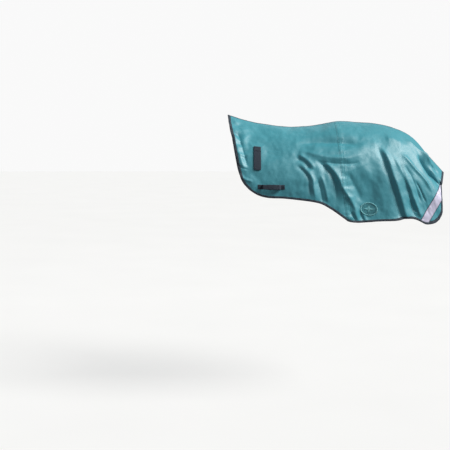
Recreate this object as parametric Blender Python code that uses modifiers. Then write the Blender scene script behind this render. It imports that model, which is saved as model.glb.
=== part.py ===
"""Exercise rug for a horse: a two-sided sheet that lies over the back, under and behind the saddle.

The rug is sewn from outer panels, linings, seam tapes, bindings, reflective strips, badges and
webbing. Every piece is laid on one net that follows the horse's back and sides.

Frame: metres, +Z up, the spine along X with the head towards -X, the rug's left side at -Y.
Origin: on the spine seam, where the cloth rests on the lowest point of the back.
"""
import math

import bmesh
import bpy
from mathutils import Vector

# ---------------------------------------------------------------- overall sizes
RUG_LENGTH = 1.233          # along the spine, front edge to rear edge, in side view
FRONT_REACH = 0.355         # front edge ahead of the origin
SIDE_DROP = 0.520           # level hem below the origin
TURN_LENGTH = 0.500         # cloth that turns from the roof of the back to the upright side

# ---------------------------------------------------------------- cloth and trim thicknesses
SHELL_THICKNESS = 0.0016
LINING_THICKNESS = 0.0014
BINDING_THICKNESS = 0.0010
TAPE_THICKNESS = 0.0008
WEBBING_THICKNESS = 0.0018
HOOK_THICKNESS = 0.0012
PILE_THICKNESS = 0.0016
BADGE_THICKNESS = 0.0010
STRIP_THICKNESS = 0.0006

# ---------------------------------------------------------------- clearances
LAYER_GAP = 0.0004          # between pieces that touch
SEAM_GAP = 0.0004           # between panels that meet at a seam
BINDING_CLEARANCE = 0.0005  # between a binding's folded legs and the cloth in it
FACET_RISE = 0.040          # how far a binding's leg stands off the facets, for each unit of width
SURFACE_CLEARANCE = 0.0006  # under trim that crosses the facets of a panel
STRIP_CLEARANCE = 0.0020    # under the strip, where the panel turns round the buttock
STRIP_GAP = 0.0009          # between the strip and its backing
TRIM_MARGIN = 0.0055        # between a binding and the trim that ends beside it

# ---------------------------------------------------------------- trim widths
BINDING_WIDTH = 0.0095      # leg of the hem's and the rear edge's folded binding on each face
FRONT_BINDING_WIDTH = 0.0125
SPINE_TAPE_WIDTH = 0.018
SEAM_TAPE_WIDTH = 0.034
STRIP_WIDTH = 0.028
STRIP_BACKING_WIDTH = 0.032
STRIP_INSET = 0.0427        # middle of the strip inside the rear edge
BADGE_LENGTH = 0.098
BADGE_HEIGHT = 0.074

# ---------------------------------------------------------------- webbing
GIRTH_LOOP_SPAN = 0.090     # clear width for the girth between the sewn ends
GIRTH_LOOP_RISE = 0.018     # clear height under the loop
GIRTH_LOOP_WEB = 0.025
TAIL_LOOP_SPAN = 0.034
TAIL_LOOP_RISE = 0.013
TAIL_LOOP_WEB = 0.020
LOOP_END = 0.020            # sewn end of a loop
LOOP_SLOPE = 0.007          # length over which a loop climbs to its bridge
TAB_WIDTH = 0.040
TAB_LENGTH = 0.110
TAB_BASE_LENGTH = 0.030
PATCH_LENGTH = 0.050        # hook and pile patches
PATCH_MARGIN = 0.002        # patches inside the tab's edges

# ---------------------------------------------------------------- net and facets
NET_COLUMNS = 28
NET_ROWS = 12
SEAM_COLUMN = 14
BINDING_STEPS = 2           # binding stations to one net cell
END_CELL = 0.2              # shortest cell left at the end of a tape, as a share of a whole cell
OUTLINE_STEPS = 24          # places on an outline between two of its points
CLOSING_ROUNDS = 30         # rounds in finding a place's cells on the net
CLOSING_STEP = 0.01         # step in cells for the net's slopes in that search
NORMAL_STEP = 0.002         # step in metres for the surface's normals
TAB_STEP = 0.014            # length of a saddle tab's facets
STRIP_STEPS = 14
STRIP_LINES = 5
CLIP_STEP = 0.0005          # step in finding where trim ends beside a binding
BADGE_STEPS = 14
BADGE_END_ANGLE = 80.0      # the oval's blunt ends, in degrees round from its middle

# The back, at shares of the rug's length: rise of the spine over the origin, slope of the cloth
# beside the spine, and the turn as a share of TURN_LENGTH.
BACK_STATIONS = (
    (0.000, 0.074, 32.0, 1.00),
    (0.093, 0.037, 26.0, 1.00),
    (0.200, 0.010, 19.0, 1.00),
    (0.288, 0.000, 14.0, 1.00),
    (0.385, 0.006, 10.0, 1.00),
    (0.500, 0.029, 8.0, 0.97),
    (0.580, 0.026, 8.0, 0.94),
    (0.685, 0.016, 8.0, 0.92),
    (0.762, -0.006, 9.0, 0.90),
    (0.837, -0.052, 10.0, 0.84),
    (0.912, -0.144, 12.0, 0.76),
    (1.000, -0.259, 14.0, 0.62),
)

# Outlines in side view: share of the rug's length, and share of the way from the spine down to
# the level hem.
FRONT_EDGE = (
    (0.000, 0.000), (0.009, 0.110), (0.022, 0.235), (0.035, 0.380), (0.052, 0.545),
    (0.068, 0.620), (0.095, 0.680),
)
HEM_EDGE = (
    (0.095, 0.680), (0.130, 0.723), (0.174, 0.745), (0.248, 0.746), (0.322, 0.762),
    (0.401, 0.796), (0.454, 0.862), (0.510, 0.952), (0.546, 0.992), (0.637, 0.991),
    (0.733, 0.981), (0.786, 0.960), (0.821, 0.960), (0.866, 1.008), (0.888, 1.032),
    (0.924, 1.020), (0.946, 0.965),
)
REAR_EDGE = (
    (1.000, 0.000), (0.980, 0.150), (0.964, 0.350), (0.958, 0.550), (0.960, 0.830),
    (0.946, 0.965),
)

# Places of the trim on one side, as share of the length and share of the drop.
BADGE_PLACE = (0.622, 0.865)
GIRTH_LOOP_PLACE = (0.190, 0.640)
SADDLE_TAB_PLACE = (0.130, 0.300)
TAIL_LOOP_PLACE = (0.890, 0.680)
STRIP_TOP_PLACE = (0.9570, 0.490)
STRIP_HEM_PLACE = (0.8740, 1.000)

SIDES = {"left": -1.0, "right": 1.0}

# ---------------------------------------------------------------- materials
FINISHES = {
    "shell_fabric": ((0.020, 0.125, 0.145), 0.72, 0.0),
    "lining_fabric": ((0.014, 0.022, 0.040), 0.85, 0.0),
    "binding": ((0.010, 0.018, 0.030), 0.80, 0.0),
    "webbing": ((0.012, 0.020, 0.034), 0.85, 0.0),
    "seam_tape": ((0.016, 0.100, 0.118), 0.75, 0.0),
    "reflective": ((0.560, 0.550, 0.680), 0.35, 0.0),
    "hook_and_pile": ((0.010, 0.012, 0.018), 0.95, 0.0),
    "embroidery": ((0.045, 0.210, 0.225), 0.55, 0.0),
}


def clear_scene():
    """Remove whatever the scene holds."""
    for item in list(bpy.data.objects):
        bpy.data.objects.remove(item, do_unlink=True)


def make_materials():
    """Make one Principled material for each finish."""
    materials = {}
    for name, (colour, roughness, metallic) in FINISHES.items():
        material = bpy.data.materials.new(name)
        material.use_nodes = True
        shader = material.node_tree.nodes["Principled BSDF"]
        shader.inputs["Base Color"].default_value = (*colour, 1.0)
        shader.inputs["Roughness"].default_value = roughness
        shader.inputs["Metallic"].default_value = metallic
        materials[name] = material
    return materials


# ================================================================ the horse's back
def read_station(share, column):
    """Return one column of BACK_STATIONS at a share of the length, on a smooth curve."""
    rows = BACK_STATIONS
    last = len(rows) - 1
    cell = 0
    while cell < last - 1 and share > rows[cell + 1][0]:
        cell += 1

    def slope(index):
        low, high = rows[max(index - 1, 0)], rows[min(index + 1, last)]
        return (high[column] - low[column]) / (high[0] - low[0])

    start, end = rows[cell], rows[cell + 1]
    width = end[0] - start[0]
    t = min(max((share - start[0]) / width, 0.0), 1.0)
    square, cube = t * t, t * t * t
    return ((2 * cube - 3 * square + 1) * start[column]
            + (cube - 2 * square + t) * width * slope(cell)
            + (3 * square - 2 * cube) * end[column]
            + (cube - square) * width * slope(cell + 1))


def share_of(x):
    """Return the share of the rug's length at a place along X."""
    return (x + FRONT_REACH) / RUG_LENGTH


def along(share):
    """Return the place along X at a share of the rug's length."""
    return share * RUG_LENGTH - FRONT_REACH


def section(x):
    """Return the spine height, roof angle, turn length and turn angle of the section at x."""
    share = share_of(x)
    roof = math.radians(read_station(share, 2))
    return read_station(share, 1), roof, read_station(share, 3) * TURN_LENGTH, math.pi / 2 - roof


def body_point(x, cloth):
    """Return the point at x that lies a length of cloth down the left side from the spine."""
    spine, roof, turn, angle = section(x)
    radius = turn / angle
    bent = min(cloth, turn) / radius
    out = radius * (math.sin(roof + bent) - math.sin(roof))
    down = radius * (math.cos(roof) - math.cos(roof + bent)) + max(cloth - turn, 0.0)
    return Vector((x, -out, spine - down))


def cloth_to_depth(x, depth):
    """Return the length of cloth from the spine that reaches a depth under the spine."""
    _, roof, turn, angle = section(x)
    radius = turn / angle
    upright = radius * math.cos(roof)
    if depth >= upright:
        return turn + depth - upright
    return (math.acos(math.cos(roof) - depth / radius) - roof) * radius


def body_normal(x, cloth):
    """Return the outward normal of the left side."""
    forward = body_point(x + NORMAL_STEP, cloth) - body_point(x - NORMAL_STEP, cloth)
    above = max(cloth - NORMAL_STEP, 0.0)
    downward = body_point(x, cloth + NORMAL_STEP) - body_point(x, above)
    return downward.cross(forward).normalized()


# ================================================================ the net
def flat_place(share, drop):
    """Return the (x, cloth) place of a point given by its shares in side view."""
    x = along(share)
    spine = section(x)[0]
    return Vector((x, cloth_to_depth(x, drop * (spine + SIDE_DROP))))


def smooth_outline(points):
    """Return closely spaced (x, cloth) places on a smooth curve through an outline's points."""
    places = [flat_place(*point) for point in points]
    places = [2 * places[0] - places[1], *places, 2 * places[-1] - places[-2]]
    curve = []
    for index in range(1, len(places) - 2):
        before, start, end, after = places[index - 1:index + 3]
        for step in range(OUTLINE_STEPS):
            t = step / OUTLINE_STEPS
            curve.append(0.5 * (2 * start + (end - before) * t
                                + (2 * before - 5 * start + 4 * end - after) * t ** 2
                                + (3 * start - before - 3 * end + after) * t ** 3))
    curve.append(places[-2])
    return curve


def spread(curve, count):
    """Return count + 1 places at equal distances along a curve."""
    lengths = [0.0]
    for start, end in zip(curve, curve[1:]):
        lengths.append(lengths[-1] + (end - start).length)
    places, cell = [], 0
    for index in range(count + 1):
        target = lengths[-1] * index / count
        while cell < len(curve) - 2 and lengths[cell + 1] < target:
            cell += 1
        part = (target - lengths[cell]) / (lengths[cell + 1] - lengths[cell])
        places.append(curve[cell].lerp(curve[cell + 1], part))
    return places


def make_net():
    """Return the net of (x, cloth) places: columns run from spine to hem, front to rear."""
    top = [Vector((along(i / NET_COLUMNS), 0.0)) for i in range(NET_COLUMNS + 1)]
    hem = spread(smooth_outline(HEM_EDGE), NET_COLUMNS)
    front = spread(smooth_outline(FRONT_EDGE), NET_ROWS)
    rear = spread(smooth_outline(REAR_EDGE), NET_ROWS)
    net = []
    for i in range(NET_COLUMNS + 1):
        u = i / NET_COLUMNS
        column = []
        for j in range(NET_ROWS + 1):
            v = j / NET_ROWS
            ruled = top[i].lerp(hem[i], v) + front[j].lerp(rear[j], u)
            corners = top[0].lerp(top[-1], u).lerp(hem[0].lerp(hem[-1], u), v)
            column.append(ruled - corners)
        net.append(column)
    return net


NET = make_net()
NET_POINTS = [[body_point(*place) for place in column] for column in NET]
NET_NORMALS = [[body_normal(*place) for place in column] for column in NET]


def net_mix(table, i, j):
    """Mix a table's values at a place on the net, given in cells."""
    a = min(max(int(i), 0), NET_COLUMNS - 1)
    b = min(max(int(j), 0), NET_ROWS - 1)
    front = table[a][b].lerp(table[a][b + 1], j - b)
    rear = table[a + 1][b].lerp(table[a + 1][b + 1], j - b)
    return front.lerp(rear, i - a)


def on_net(i, j, height, side):
    """Return the point at a height over the net, on one side of the rug."""
    point = net_mix(NET_POINTS, i, j) + height * net_mix(NET_NORMALS, i, j).normalized()
    return Vector((point.x, -side * point.y, point.z))


def net_place(place):
    """Return the net cells (i, j) of an (x, cloth) place, found by closing in on it."""
    i, j = NET_COLUMNS / 2, NET_ROWS / 2
    step = CLOSING_STEP
    for _ in range(CLOSING_ROUNDS):
        here = net_mix(NET, i, j)
        di = (net_mix(NET, i + step, j) - net_mix(NET, i - step, j)) / (2 * step)
        dj = (net_mix(NET, i, j + step) - net_mix(NET, i, j - step)) / (2 * step)
        miss = place - here
        cross = di.x * dj.y - di.y * dj.x
        i += (miss.x * dj.y - miss.y * dj.x) / cross
        j += (di.x * miss.y - di.y * miss.x) / cross
        i = min(max(i, 0.0), NET_COLUMNS)
        j = min(max(j, 0.0), NET_ROWS)
    return i, j


# ================================================================ making sheets
def new_sheet(name, rows, thickness, material, facing):
    """Make a sheet through rows of points, thickened on the side that looks along facing."""
    mesh = bpy.data.meshes.new(name)
    shape = bmesh.new()
    grid = [[shape.verts.new(point) for point in row] for row in rows]
    for upper, lower in zip(grid, grid[1:]):
        for k in range(len(upper) - 1):
            shape.faces.new((upper[k], upper[k + 1], lower[k + 1], lower[k]))
    shape.normal_update()
    if sum(face.normal.dot(facing) * face.calc_area() for face in shape.faces) < 0:
        bmesh.ops.reverse_faces(shape, faces=shape.faces)
    shape.to_mesh(mesh)
    shape.free()
    sheet = bpy.data.objects.new(name, mesh)
    PARTS.objects.link(sheet)
    mesh.materials.append(MATERIALS[material])
    solid = sheet.modifiers.new("thickness", "SOLIDIFY")
    solid.thickness = thickness
    solid.offset = 1.0
    return sheet


def net_rows(columns, rows, height, side):
    """Return rows of points over the net at the given columns and rows."""
    return [[on_net(i, j, height, side) for j in rows] for i in columns]


def cells_between(start, end):
    """Return the whole cell lines between two places, with the two places at the ends."""
    inner = range(math.ceil(start + END_CELL), math.floor(end - END_CELL) + 1)
    return [start, *inner, end]


def outward(side):
    """Return the direction that one side of the rug faces."""
    return Vector((0.0, side, 0.0))


def shell_top():
    """Return the height of the outer panels' outer face."""
    return LAYER_GAP / 2 + SHELL_THICKNESS


def lining_face():
    """Return the height of the linings' inner face."""
    return -(LAYER_GAP / 2 + LINING_THICKNESS)


# ================================================================ panels and linings
def cell_gap(gap, columns):
    """Return a gap in metres as a share of a net cell, along a row or down a column."""
    size = RUG_LENGTH / NET_COLUMNS if columns else (NET_POINTS[SEAM_COLUMN][0]
                                                     - NET_POINTS[SEAM_COLUMN][1]).length
    return gap / size


def make_panels(word, side):
    """Make one side's outer panels and its lining."""
    seam = cell_gap(SEAM_GAP / 2, True)
    rows = [cell_gap(SEAM_GAP / 2, False), *range(1, NET_ROWS + 1)]
    steepest = max(math.tan(math.radians(station[2])) for station in BACK_STATIONS)
    lining_ridge = cell_gap(2 * SEAM_GAP - lining_face() * steepest, False)
    lining_rows = [lining_ridge, *range(1, NET_ROWS + 1)]
    height = LAYER_GAP / 2
    saddle = [*range(SEAM_COLUMN), SEAM_COLUMN - seam]
    quarter = [SEAM_COLUMN + seam, *range(SEAM_COLUMN + 1, NET_COLUMNS + 1)]
    new_sheet("saddle_panel_" + word, net_rows(saddle, rows, height, side),
              SHELL_THICKNESS, "shell_fabric", outward(side))
    new_sheet("quarter_panel_" + word, net_rows(quarter, rows, height, side),
              SHELL_THICKNESS, "shell_fabric", outward(side))
    new_sheet("lining_" + word, net_rows(range(NET_COLUMNS + 1), lining_rows, -height, side),
              LINING_THICKNESS, "lining_fabric", outward(-side))


def inside_column(i_edge, distance):
    """Return the column that lies a distance along the spine from the front or rear edge."""
    step = 1 if i_edge == 0 else -1
    size = (NET_POINTS[i_edge][0] - NET_POINTS[i_edge + step][0]).length
    return i_edge + step * distance / size


def inside_row(i, distance):
    """Return the row that lies a distance down a column from the spine."""
    return distance / (NET_POINTS[i][0] - NET_POINTS[i][1]).length


def ridge_frame(i):
    """Return the spine's point and normal at a column, and the stretch of heights there."""
    point = net_mix(NET_POINTS, i, 0.0)
    side_normal = net_mix(NET_NORMALS, i, 0.0).normalized()
    normal = Vector((side_normal.x, 0.0, side_normal.z)).normalized()
    return Vector((point.x, 0.0, point.z)), normal, 1.0 / normal.dot(side_normal)


# ================================================================ bindings
def edge_path(kind):
    """Return the net cells along the front, rear or hem edge, from the spine or the front."""
    if kind == "hem":
        count = NET_COLUMNS * BINDING_STEPS
        return [(k / BINDING_STEPS, NET_ROWS) for k in range(count + 1)]
    column = 0 if kind == "front" else NET_COLUMNS
    count = NET_ROWS * BINDING_STEPS
    return [(column, k / BINDING_STEPS) for k in range(count + 1)]


def edge_stations(kind):
    """Return (cells, flat place, flat inward direction) at each station along an edge."""
    path = edge_path(kind)
    places = [net_mix(NET, *cells) for cells in path]
    turn = -1.0 if kind == "rear" else 1.0
    stations = []
    for k, (cells, place) in enumerate(zip(path, places)):
        ahead = places[min(k + 1, len(places) - 1)] - places[max(k - 1, 0)]
        inward = Vector((ahead.y, -ahead.x)).normalized() * turn
        stations.append((cells, place, inward))
    return stations


def share_corner(edge_a, edge_b, end_a, end_b):
    """Give two edges that meet at a corner one shared inward direction there."""
    shared = (edge_a[end_a][2] + edge_b[end_b][2]).normalized()
    edge_a[end_a] = (*edge_a[end_a][:2], shared)
    edge_b[end_b] = (*edge_b[end_b][:2], shared)


def fold_clearance(width):
    """Return the clearance inside a folded binding, which grows with its legs over the facets."""
    return BINDING_CLEARANCE + FACET_RISE * width


def fold_heights(width):
    """Return the outer and inner heights of the space inside a binding folded to a width."""
    return shell_top() + fold_clearance(width), lining_face() - fold_clearance(width)


def folded_row(width, side, cells, place, inward):
    """Return a binding's inner outline round the cloth's edge at one station."""
    outer, inner = fold_heights(width)
    leg = net_place(place + width * inward)
    edge = on_net(*cells, (outer + inner) / 2, side)
    out = (edge - on_net(*leg, (outer + inner) / 2, side)).normalized()
    nose = edge + out * ((outer - inner) / 2 + fold_clearance(width))
    return [on_net(*leg, outer, side), on_net(*cells, outer, side), nose,
            on_net(*cells, inner, side), on_net(*leg, inner, side)]


def ridge_row(width, column):
    """Return a binding's inner outline where it crosses the spine."""
    outer, inner = fold_heights(width)
    edge, normal, mitre = ridge_frame(column)
    leg, leg_normal, leg_mitre = ridge_frame(inside_column(column, width))
    out = (edge - leg).normalized() * ((outer - inner) / 2 * mitre + fold_clearance(width))
    return [leg + leg_normal * outer * leg_mitre, edge + normal * outer * mitre,
            edge + normal * (outer + inner) / 2 * mitre + out,
            edge + normal * inner * mitre, leg + leg_normal * inner * leg_mitre]


def trim_path(rows):
    """Pull the end rows in along the path, so that bindings that meet keep a gap."""
    gap = LAYER_GAP / 2
    rows[0] = [a + (b - a).normalized() * gap for a, b in zip(rows[0], rows[1])]
    rows[-1] = [b + (a - b).normalized() * gap for a, b in zip(rows[-2], rows[-1])]
    return rows


def make_bindings():
    """Make the front and rear bindings over the spine, and a hem binding on each side."""
    front, rear, hem = (edge_stations(kind) for kind in ("front", "rear", "hem"))
    share_corner(front, hem, -1, 0)
    share_corner(rear, hem, -1, -1)
    for name, edge, column, facing, width in (
            ("front_binding", front, 0, -1.0, FRONT_BINDING_WIDTH),
            ("rear_binding", rear, NET_COLUMNS, 1.0, BINDING_WIDTH)):
        left = [folded_row(width, SIDES["left"], *station) for station in edge[1:]]
        right = [folded_row(width, SIDES["right"], *station) for station in edge[1:]]
        rows = [*left[::-1], ridge_row(width, column), *right]
        new_sheet(name, trim_path(rows), BINDING_THICKNESS, "binding",
                  Vector((facing, 0.0, 0.0)))
    for word, side in SIDES.items():
        rows = trim_path([folded_row(BINDING_WIDTH, side, *station) for station in hem])
        new_sheet("hem_binding_" + word, rows, BINDING_THICKNESS, "binding",
                  Vector((0.0, 0.0, -1.0)))


# ================================================================ trim laid on the panels
def edge_distance(place, edges):
    """Return the distance over the cloth from a place to the nearest of some edges' points."""
    return min((place - spot).length for edge in edges for spot in edge)


def clipped_end(start, end, edges, width=BINDING_WIDTH):
    """Return the last place on the way from start to end that is clear of the edges' bindings."""
    margin = width + TRIM_MARGIN
    count = round((end - start).length / CLIP_STEP)
    place = start
    for k in range(count + 1):
        spot = start.lerp(end, k / count)
        if edge_distance(spot, edges) < margin:
            break
        place = spot
    return place


def strip_rows(width, level, side):
    """Return rows of points over the strip's band, with its ends cut along the bindings."""
    edges = [smooth_outline(HEM_EDGE), smooth_outline(REAR_EDGE)]
    top, low = flat_place(*STRIP_TOP_PLACE), flat_place(*STRIP_HEM_PLACE)
    run = low - top
    across = Vector((-run.y, run.x)).normalized()
    centre = (top + low) / 2
    centre += across * (STRIP_INSET - edge_distance(centre, edges))
    lines = []
    for line in range(STRIP_LINES):
        middle = centre + across * width * (line / (STRIP_LINES - 1) - 0.5)
        lines.append((clipped_end(middle, middle - run, edges),
                      clipped_end(middle, middle + run, edges)))
    rows = []
    for k in range(STRIP_STEPS + 1):
        spots = [start.lerp(end, k / STRIP_STEPS) for start, end in lines]
        rows.append([on_net(*net_place(spot), level, side) for spot in spots])
    return rows


def make_spine_tape():
    """Make the tape that covers the seam along the spine, from binding to binding."""
    reach = SPINE_TAPE_WIDTH / 2
    middle = Vector((along(0.5), reach))
    ends = []
    for share, outline, width in ((0.0, FRONT_EDGE, FRONT_BINDING_WIDTH),
                                  (1.0, REAR_EDGE, BINDING_WIDTH)):
        end = Vector((along(share), reach))
        spot = clipped_end(middle, end, [smooth_outline(outline)], width)
        ends.append(net_place(spot)[0])
    height = shell_top() + LAYER_GAP
    rows = []
    for i in cells_between(*ends):
        low = inside_row(round(i), reach)
        left = on_net(i, low, height, SIDES["left"])
        right = on_net(i, low, height, SIDES["right"])
        point, normal, mitre = ridge_frame(i)
        rows.append([right, point + normal * height * mitre, left])
    new_sheet("spine_tape", rows, TAPE_THICKNESS, "binding", Vector((0.0, 0.0, 1.0)))


def make_seam_tape(word, side):
    """Make the tape over the seam between the saddle panel and the quarter panel."""
    size = (NET_POINTS[SEAM_COLUMN][0] - NET_POINTS[SEAM_COLUMN + 1][0]).length
    half = SEAM_TAPE_WIDTH / 2 / size
    level = shell_top() + LAYER_GAP
    first = inside_row(SEAM_COLUMN, SPINE_TAPE_WIDTH / 2 + 2 * LAYER_GAP)
    hem = [smooth_outline(HEM_EDGE)]
    rows = []
    for i in (SEAM_COLUMN - half, SEAM_COLUMN, SEAM_COLUMN + half):
        inside = net_mix(NET, i, NET_ROWS - 1)
        last = net_place(clipped_end(inside, net_mix(NET, i, NET_ROWS), hem))
        lines = [first, *range(1, NET_ROWS), last[1]]
        rows.append([on_net(i, j, level, side) for j in lines])
    new_sheet("seam_tape_" + word, rows, TAPE_THICKNESS, "seam_tape", outward(side))


def make_reflective_strip(word, side):
    """Make the reflective strip and the edging tape under it, across the rear lower corner."""
    height = shell_top() + STRIP_CLEARANCE
    new_sheet("strip_backing_" + word, strip_rows(STRIP_BACKING_WIDTH, height, side),
              TAPE_THICKNESS, "binding", outward(side))
    height += TAPE_THICKNESS + STRIP_GAP
    new_sheet("reflective_strip_" + word, strip_rows(STRIP_WIDTH, height, side),
              STRIP_THICKNESS, "reflective", outward(side))


def make_badge(word, side):
    """Make the oval embroidered badge on the rear lower panel."""
    centre = flat_place(*BADGE_PLACE)
    level = shell_top() + SURFACE_CLEARANCE
    rows = []
    for k in range(BADGE_STEPS + 1):
        turn = math.radians(BADGE_END_ANGLE) * (2 * k / BADGE_STEPS - 1)
        run = BADGE_LENGTH / 2 * math.sin(turn)
        reach = BADGE_HEIGHT / 2 * math.cos(turn)
        spots = [centre + Vector((run, reach * part)) for part in (-1, 0, 1)]
        rows.append([on_net(*net_place(spot), level, side) for spot in spots])
    new_sheet("badge_" + word, rows, BADGE_THICKNESS, "embroidery", outward(side))


# ================================================================ webbing
def loop_outline(span, rise):
    """Return a webbing loop's inner outline: (run, height) from one sewn end to the other."""
    foot = span / 2 + LOOP_SLOPE
    return ((-foot - LOOP_END, 0.0), (-foot, 0.0), (-span / 2, rise), (0.0, rise),
            (span / 2, rise), (foot, 0.0), (foot + LOOP_END, 0.0))


def make_loop(name, place, side, web, span, rise, inside):
    """Make a webbing loop that runs along the rug, sewn down at both ends."""
    face = lining_face() - SURFACE_CLEARANCE if inside else shell_top() + SURFACE_CLEARANCE
    rows = []
    for run, height in loop_outline(span, rise):
        level = face - height if inside else face + height
        spots = [Vector((place.x + run, place.y + across)) for across in (-web / 2, 0.0, web / 2)]
        rows.append([on_net(*net_place(spot), level, side) for spot in spots])
    new_sheet(name, rows, WEBBING_THICKNESS, "webbing", outward(-side if inside else side))


def make_loops(word, side):
    """Make one side's girth loop, and its loop for the tail cord on the lining."""
    make_loop("girth_loop_" + word, flat_place(*GIRTH_LOOP_PLACE), side, GIRTH_LOOP_WEB,
              GIRTH_LOOP_SPAN, GIRTH_LOOP_RISE, False)
    make_loop("tail_cord_loop_" + word, flat_place(*TAIL_LOOP_PLACE), side, TAIL_LOOP_WEB,
              TAIL_LOOP_SPAN, TAIL_LOOP_RISE, True)


def tab_rows(start, end, width, level, side):
    """Return rows of points over the net for a band that runs down the cloth at the tab."""
    place = flat_place(*SADDLE_TAB_PLACE)
    steps = max(1, round((end - start) / TAB_STEP))
    rows = []
    for k in range(steps + 1):
        cloth = place.y + start + (end - start) * k / steps
        rows.append([])
        for across in (-width / 2, 0.0, width / 2):
            spot = Vector((place.x + across, cloth))
            rows[-1].append(on_net(*net_place(spot), level, side))
    return rows


def make_saddle_tab(word, side):
    """Make the hook-and-pile tab: sewn base, swinging tab, hook patch and pile patch."""
    skin = shell_top() + SURFACE_CLEARANCE
    hook_level = skin + PILE_THICKNESS + LAYER_GAP
    tab_level = hook_level + HOOK_THICKNESS + LAYER_GAP
    patch_width = TAB_WIDTH - 2 * PATCH_MARGIN
    patch_end = TAB_LENGTH - PATCH_MARGIN
    patch_start = patch_end - PATCH_LENGTH
    base_thickness = tab_level + WEBBING_THICKNESS - skin
    bands = (
        ("saddle_tab_base_", -TAB_BASE_LENGTH, -LAYER_GAP, TAB_WIDTH, skin, base_thickness,
         "webbing"),
        ("saddle_tab_", 0.0, TAB_LENGTH, TAB_WIDTH, tab_level, WEBBING_THICKNESS, "webbing"),
        ("saddle_tab_hook_", patch_start, patch_end, patch_width, hook_level, HOOK_THICKNESS,
         "hook_and_pile"),
        ("saddle_tab_pile_", patch_start, patch_end, patch_width, skin, PILE_THICKNESS,
         "hook_and_pile"),
    )
    for name, start, end, width, level, thickness, material in bands:
        rows = tab_rows(start, end, width, level, side)
        new_sheet(name + word, rows, thickness, material, outward(side))


# ================================================================ the rug
clear_scene()
MATERIALS = make_materials()
PARTS = bpy.data.collections.new("exercise_rug")
bpy.context.scene.collection.children.link(PARTS)

for side_name, side_sign in SIDES.items():
    make_panels(side_name, side_sign)
    make_seam_tape(side_name, side_sign)
    make_reflective_strip(side_name, side_sign)
    make_badge(side_name, side_sign)
    make_loops(side_name, side_sign)
    make_saddle_tab(side_name, side_sign)
make_bindings()
make_spine_tape()
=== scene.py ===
"""Looks of a horse's exercise rug: draped cloth with its folds, bindings, tapes, webbing and stitching.

Metres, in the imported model's frame: the head towards -X, the tail towards +X, the rug's left side
at -Y, +Z up. A place on the cloth is (x, cloth), where cloth is the length of cloth from the spine
and is negative on the left side.
"""

import logging
import math
from dataclasses import dataclass, field, replace
from enum import Enum
from typing import Callable, Sequence

import bpy
import numpy as np
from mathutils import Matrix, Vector


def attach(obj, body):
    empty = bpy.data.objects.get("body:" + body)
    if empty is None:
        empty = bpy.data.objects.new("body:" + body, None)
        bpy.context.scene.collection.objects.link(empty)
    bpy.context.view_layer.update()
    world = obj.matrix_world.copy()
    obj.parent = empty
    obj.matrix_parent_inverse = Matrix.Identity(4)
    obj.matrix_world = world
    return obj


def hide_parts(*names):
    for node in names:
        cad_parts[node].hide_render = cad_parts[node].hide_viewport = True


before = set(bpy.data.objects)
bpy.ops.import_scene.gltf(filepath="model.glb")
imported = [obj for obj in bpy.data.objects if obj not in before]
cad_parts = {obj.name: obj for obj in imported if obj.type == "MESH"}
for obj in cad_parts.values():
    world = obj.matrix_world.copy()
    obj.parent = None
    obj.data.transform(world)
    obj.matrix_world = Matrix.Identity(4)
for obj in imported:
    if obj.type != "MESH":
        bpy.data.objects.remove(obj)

LOG = logging.getLogger("rug")
UV_NAME = "flat"
RUG = "rug"
Array = np.ndarray
Colour = tuple[float, float, float]
Rows = Sequence[tuple[Array, float]]


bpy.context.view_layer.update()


class Side(Enum):
    """The two sides of the rug, with the sign of Y and of cloth on each."""

    LEFT = -1.0
    RIGHT = 1.0

    @property
    def word(self) -> str:
        """Return the side's name in lower case."""
        return self.name.lower()

    @property
    def flip(self) -> Array:
        """Return what turns a flat place of the right side into this side's."""
        return np.array([1.0, self.value])


class Lay(Enum):
    """How a row of stitches lies on its line."""

    ALONG = "along"
    ACROSS = "across"
    UPRIGHT = "upright"


# ==== small helpers on arrays
def smooth_step(value: Array) -> Array:
    """Return value clipped to 0..1 and eased at both ends."""
    t = np.clip(value, 0.0, 1.0)
    return t * t * (3.0 - 2.0 * t)


def bell(value: Array, middle: float, width: float) -> Array:
    """Return a smooth hump, one high, round a middle."""
    return np.exp(-((value - middle) / width) ** 2)


def ramp(value: Array, start: float, run: float) -> Array:
    """Return 0 up to a start and 1 past a run, with a smooth rise between."""
    return smooth_step((value - start) / run)


def unit(vectors: Array) -> Array:
    """Return vectors scaled to length one."""
    return vectors / np.maximum(np.linalg.norm(vectors, axis=-1, keepdims=True), 1e-12)


def spline(points: Sequence[Sequence[float]], fine: int = 24) -> Array:
    """Return closely spaced places on a smooth curve through some points.

    Args:
        points: the points that the curve goes through.
        fine: how many places lie between two of them.

    Returns:
        An array of places, one row each.
    """
    knots = np.asarray(points, float)
    knots = np.vstack([2 * knots[0] - knots[1], knots, 2 * knots[-1] - knots[-2]])
    t = (np.arange(fine) / fine)[:, None]
    parts = []
    for index in range(1, len(knots) - 2):
        before, start, end, after = knots[index - 1:index + 3]
        parts.append(0.5 * (2 * start + (end - before) * t
                            + (2 * before - 5 * start + 4 * end - after) * t ** 2
                            + (3 * start - before - 3 * end + after) * t ** 3))
    parts.append(knots[-2:-1])
    return np.vstack(parts)


def run_lengths(path: Array) -> Array:
    """Return the distance along a path at each of its places."""
    steps = np.linalg.norm(np.diff(path, axis=0), axis=1)
    return np.concatenate([[0.0], np.cumsum(steps)])


def read_path(path: Array, shares: Array) -> Array:
    """Return the places at shares of a path's length.

    Args:
        path: places, one row each.
        shares: shares of the length, from 0 to 1.

    Returns:
        One row for each share.
    """
    lengths = run_lengths(path)
    targets = np.asarray(shares) * lengths[-1]
    return np.stack([np.interp(targets, lengths, path[:, k]) for k in range(path.shape[1])], -1)


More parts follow.
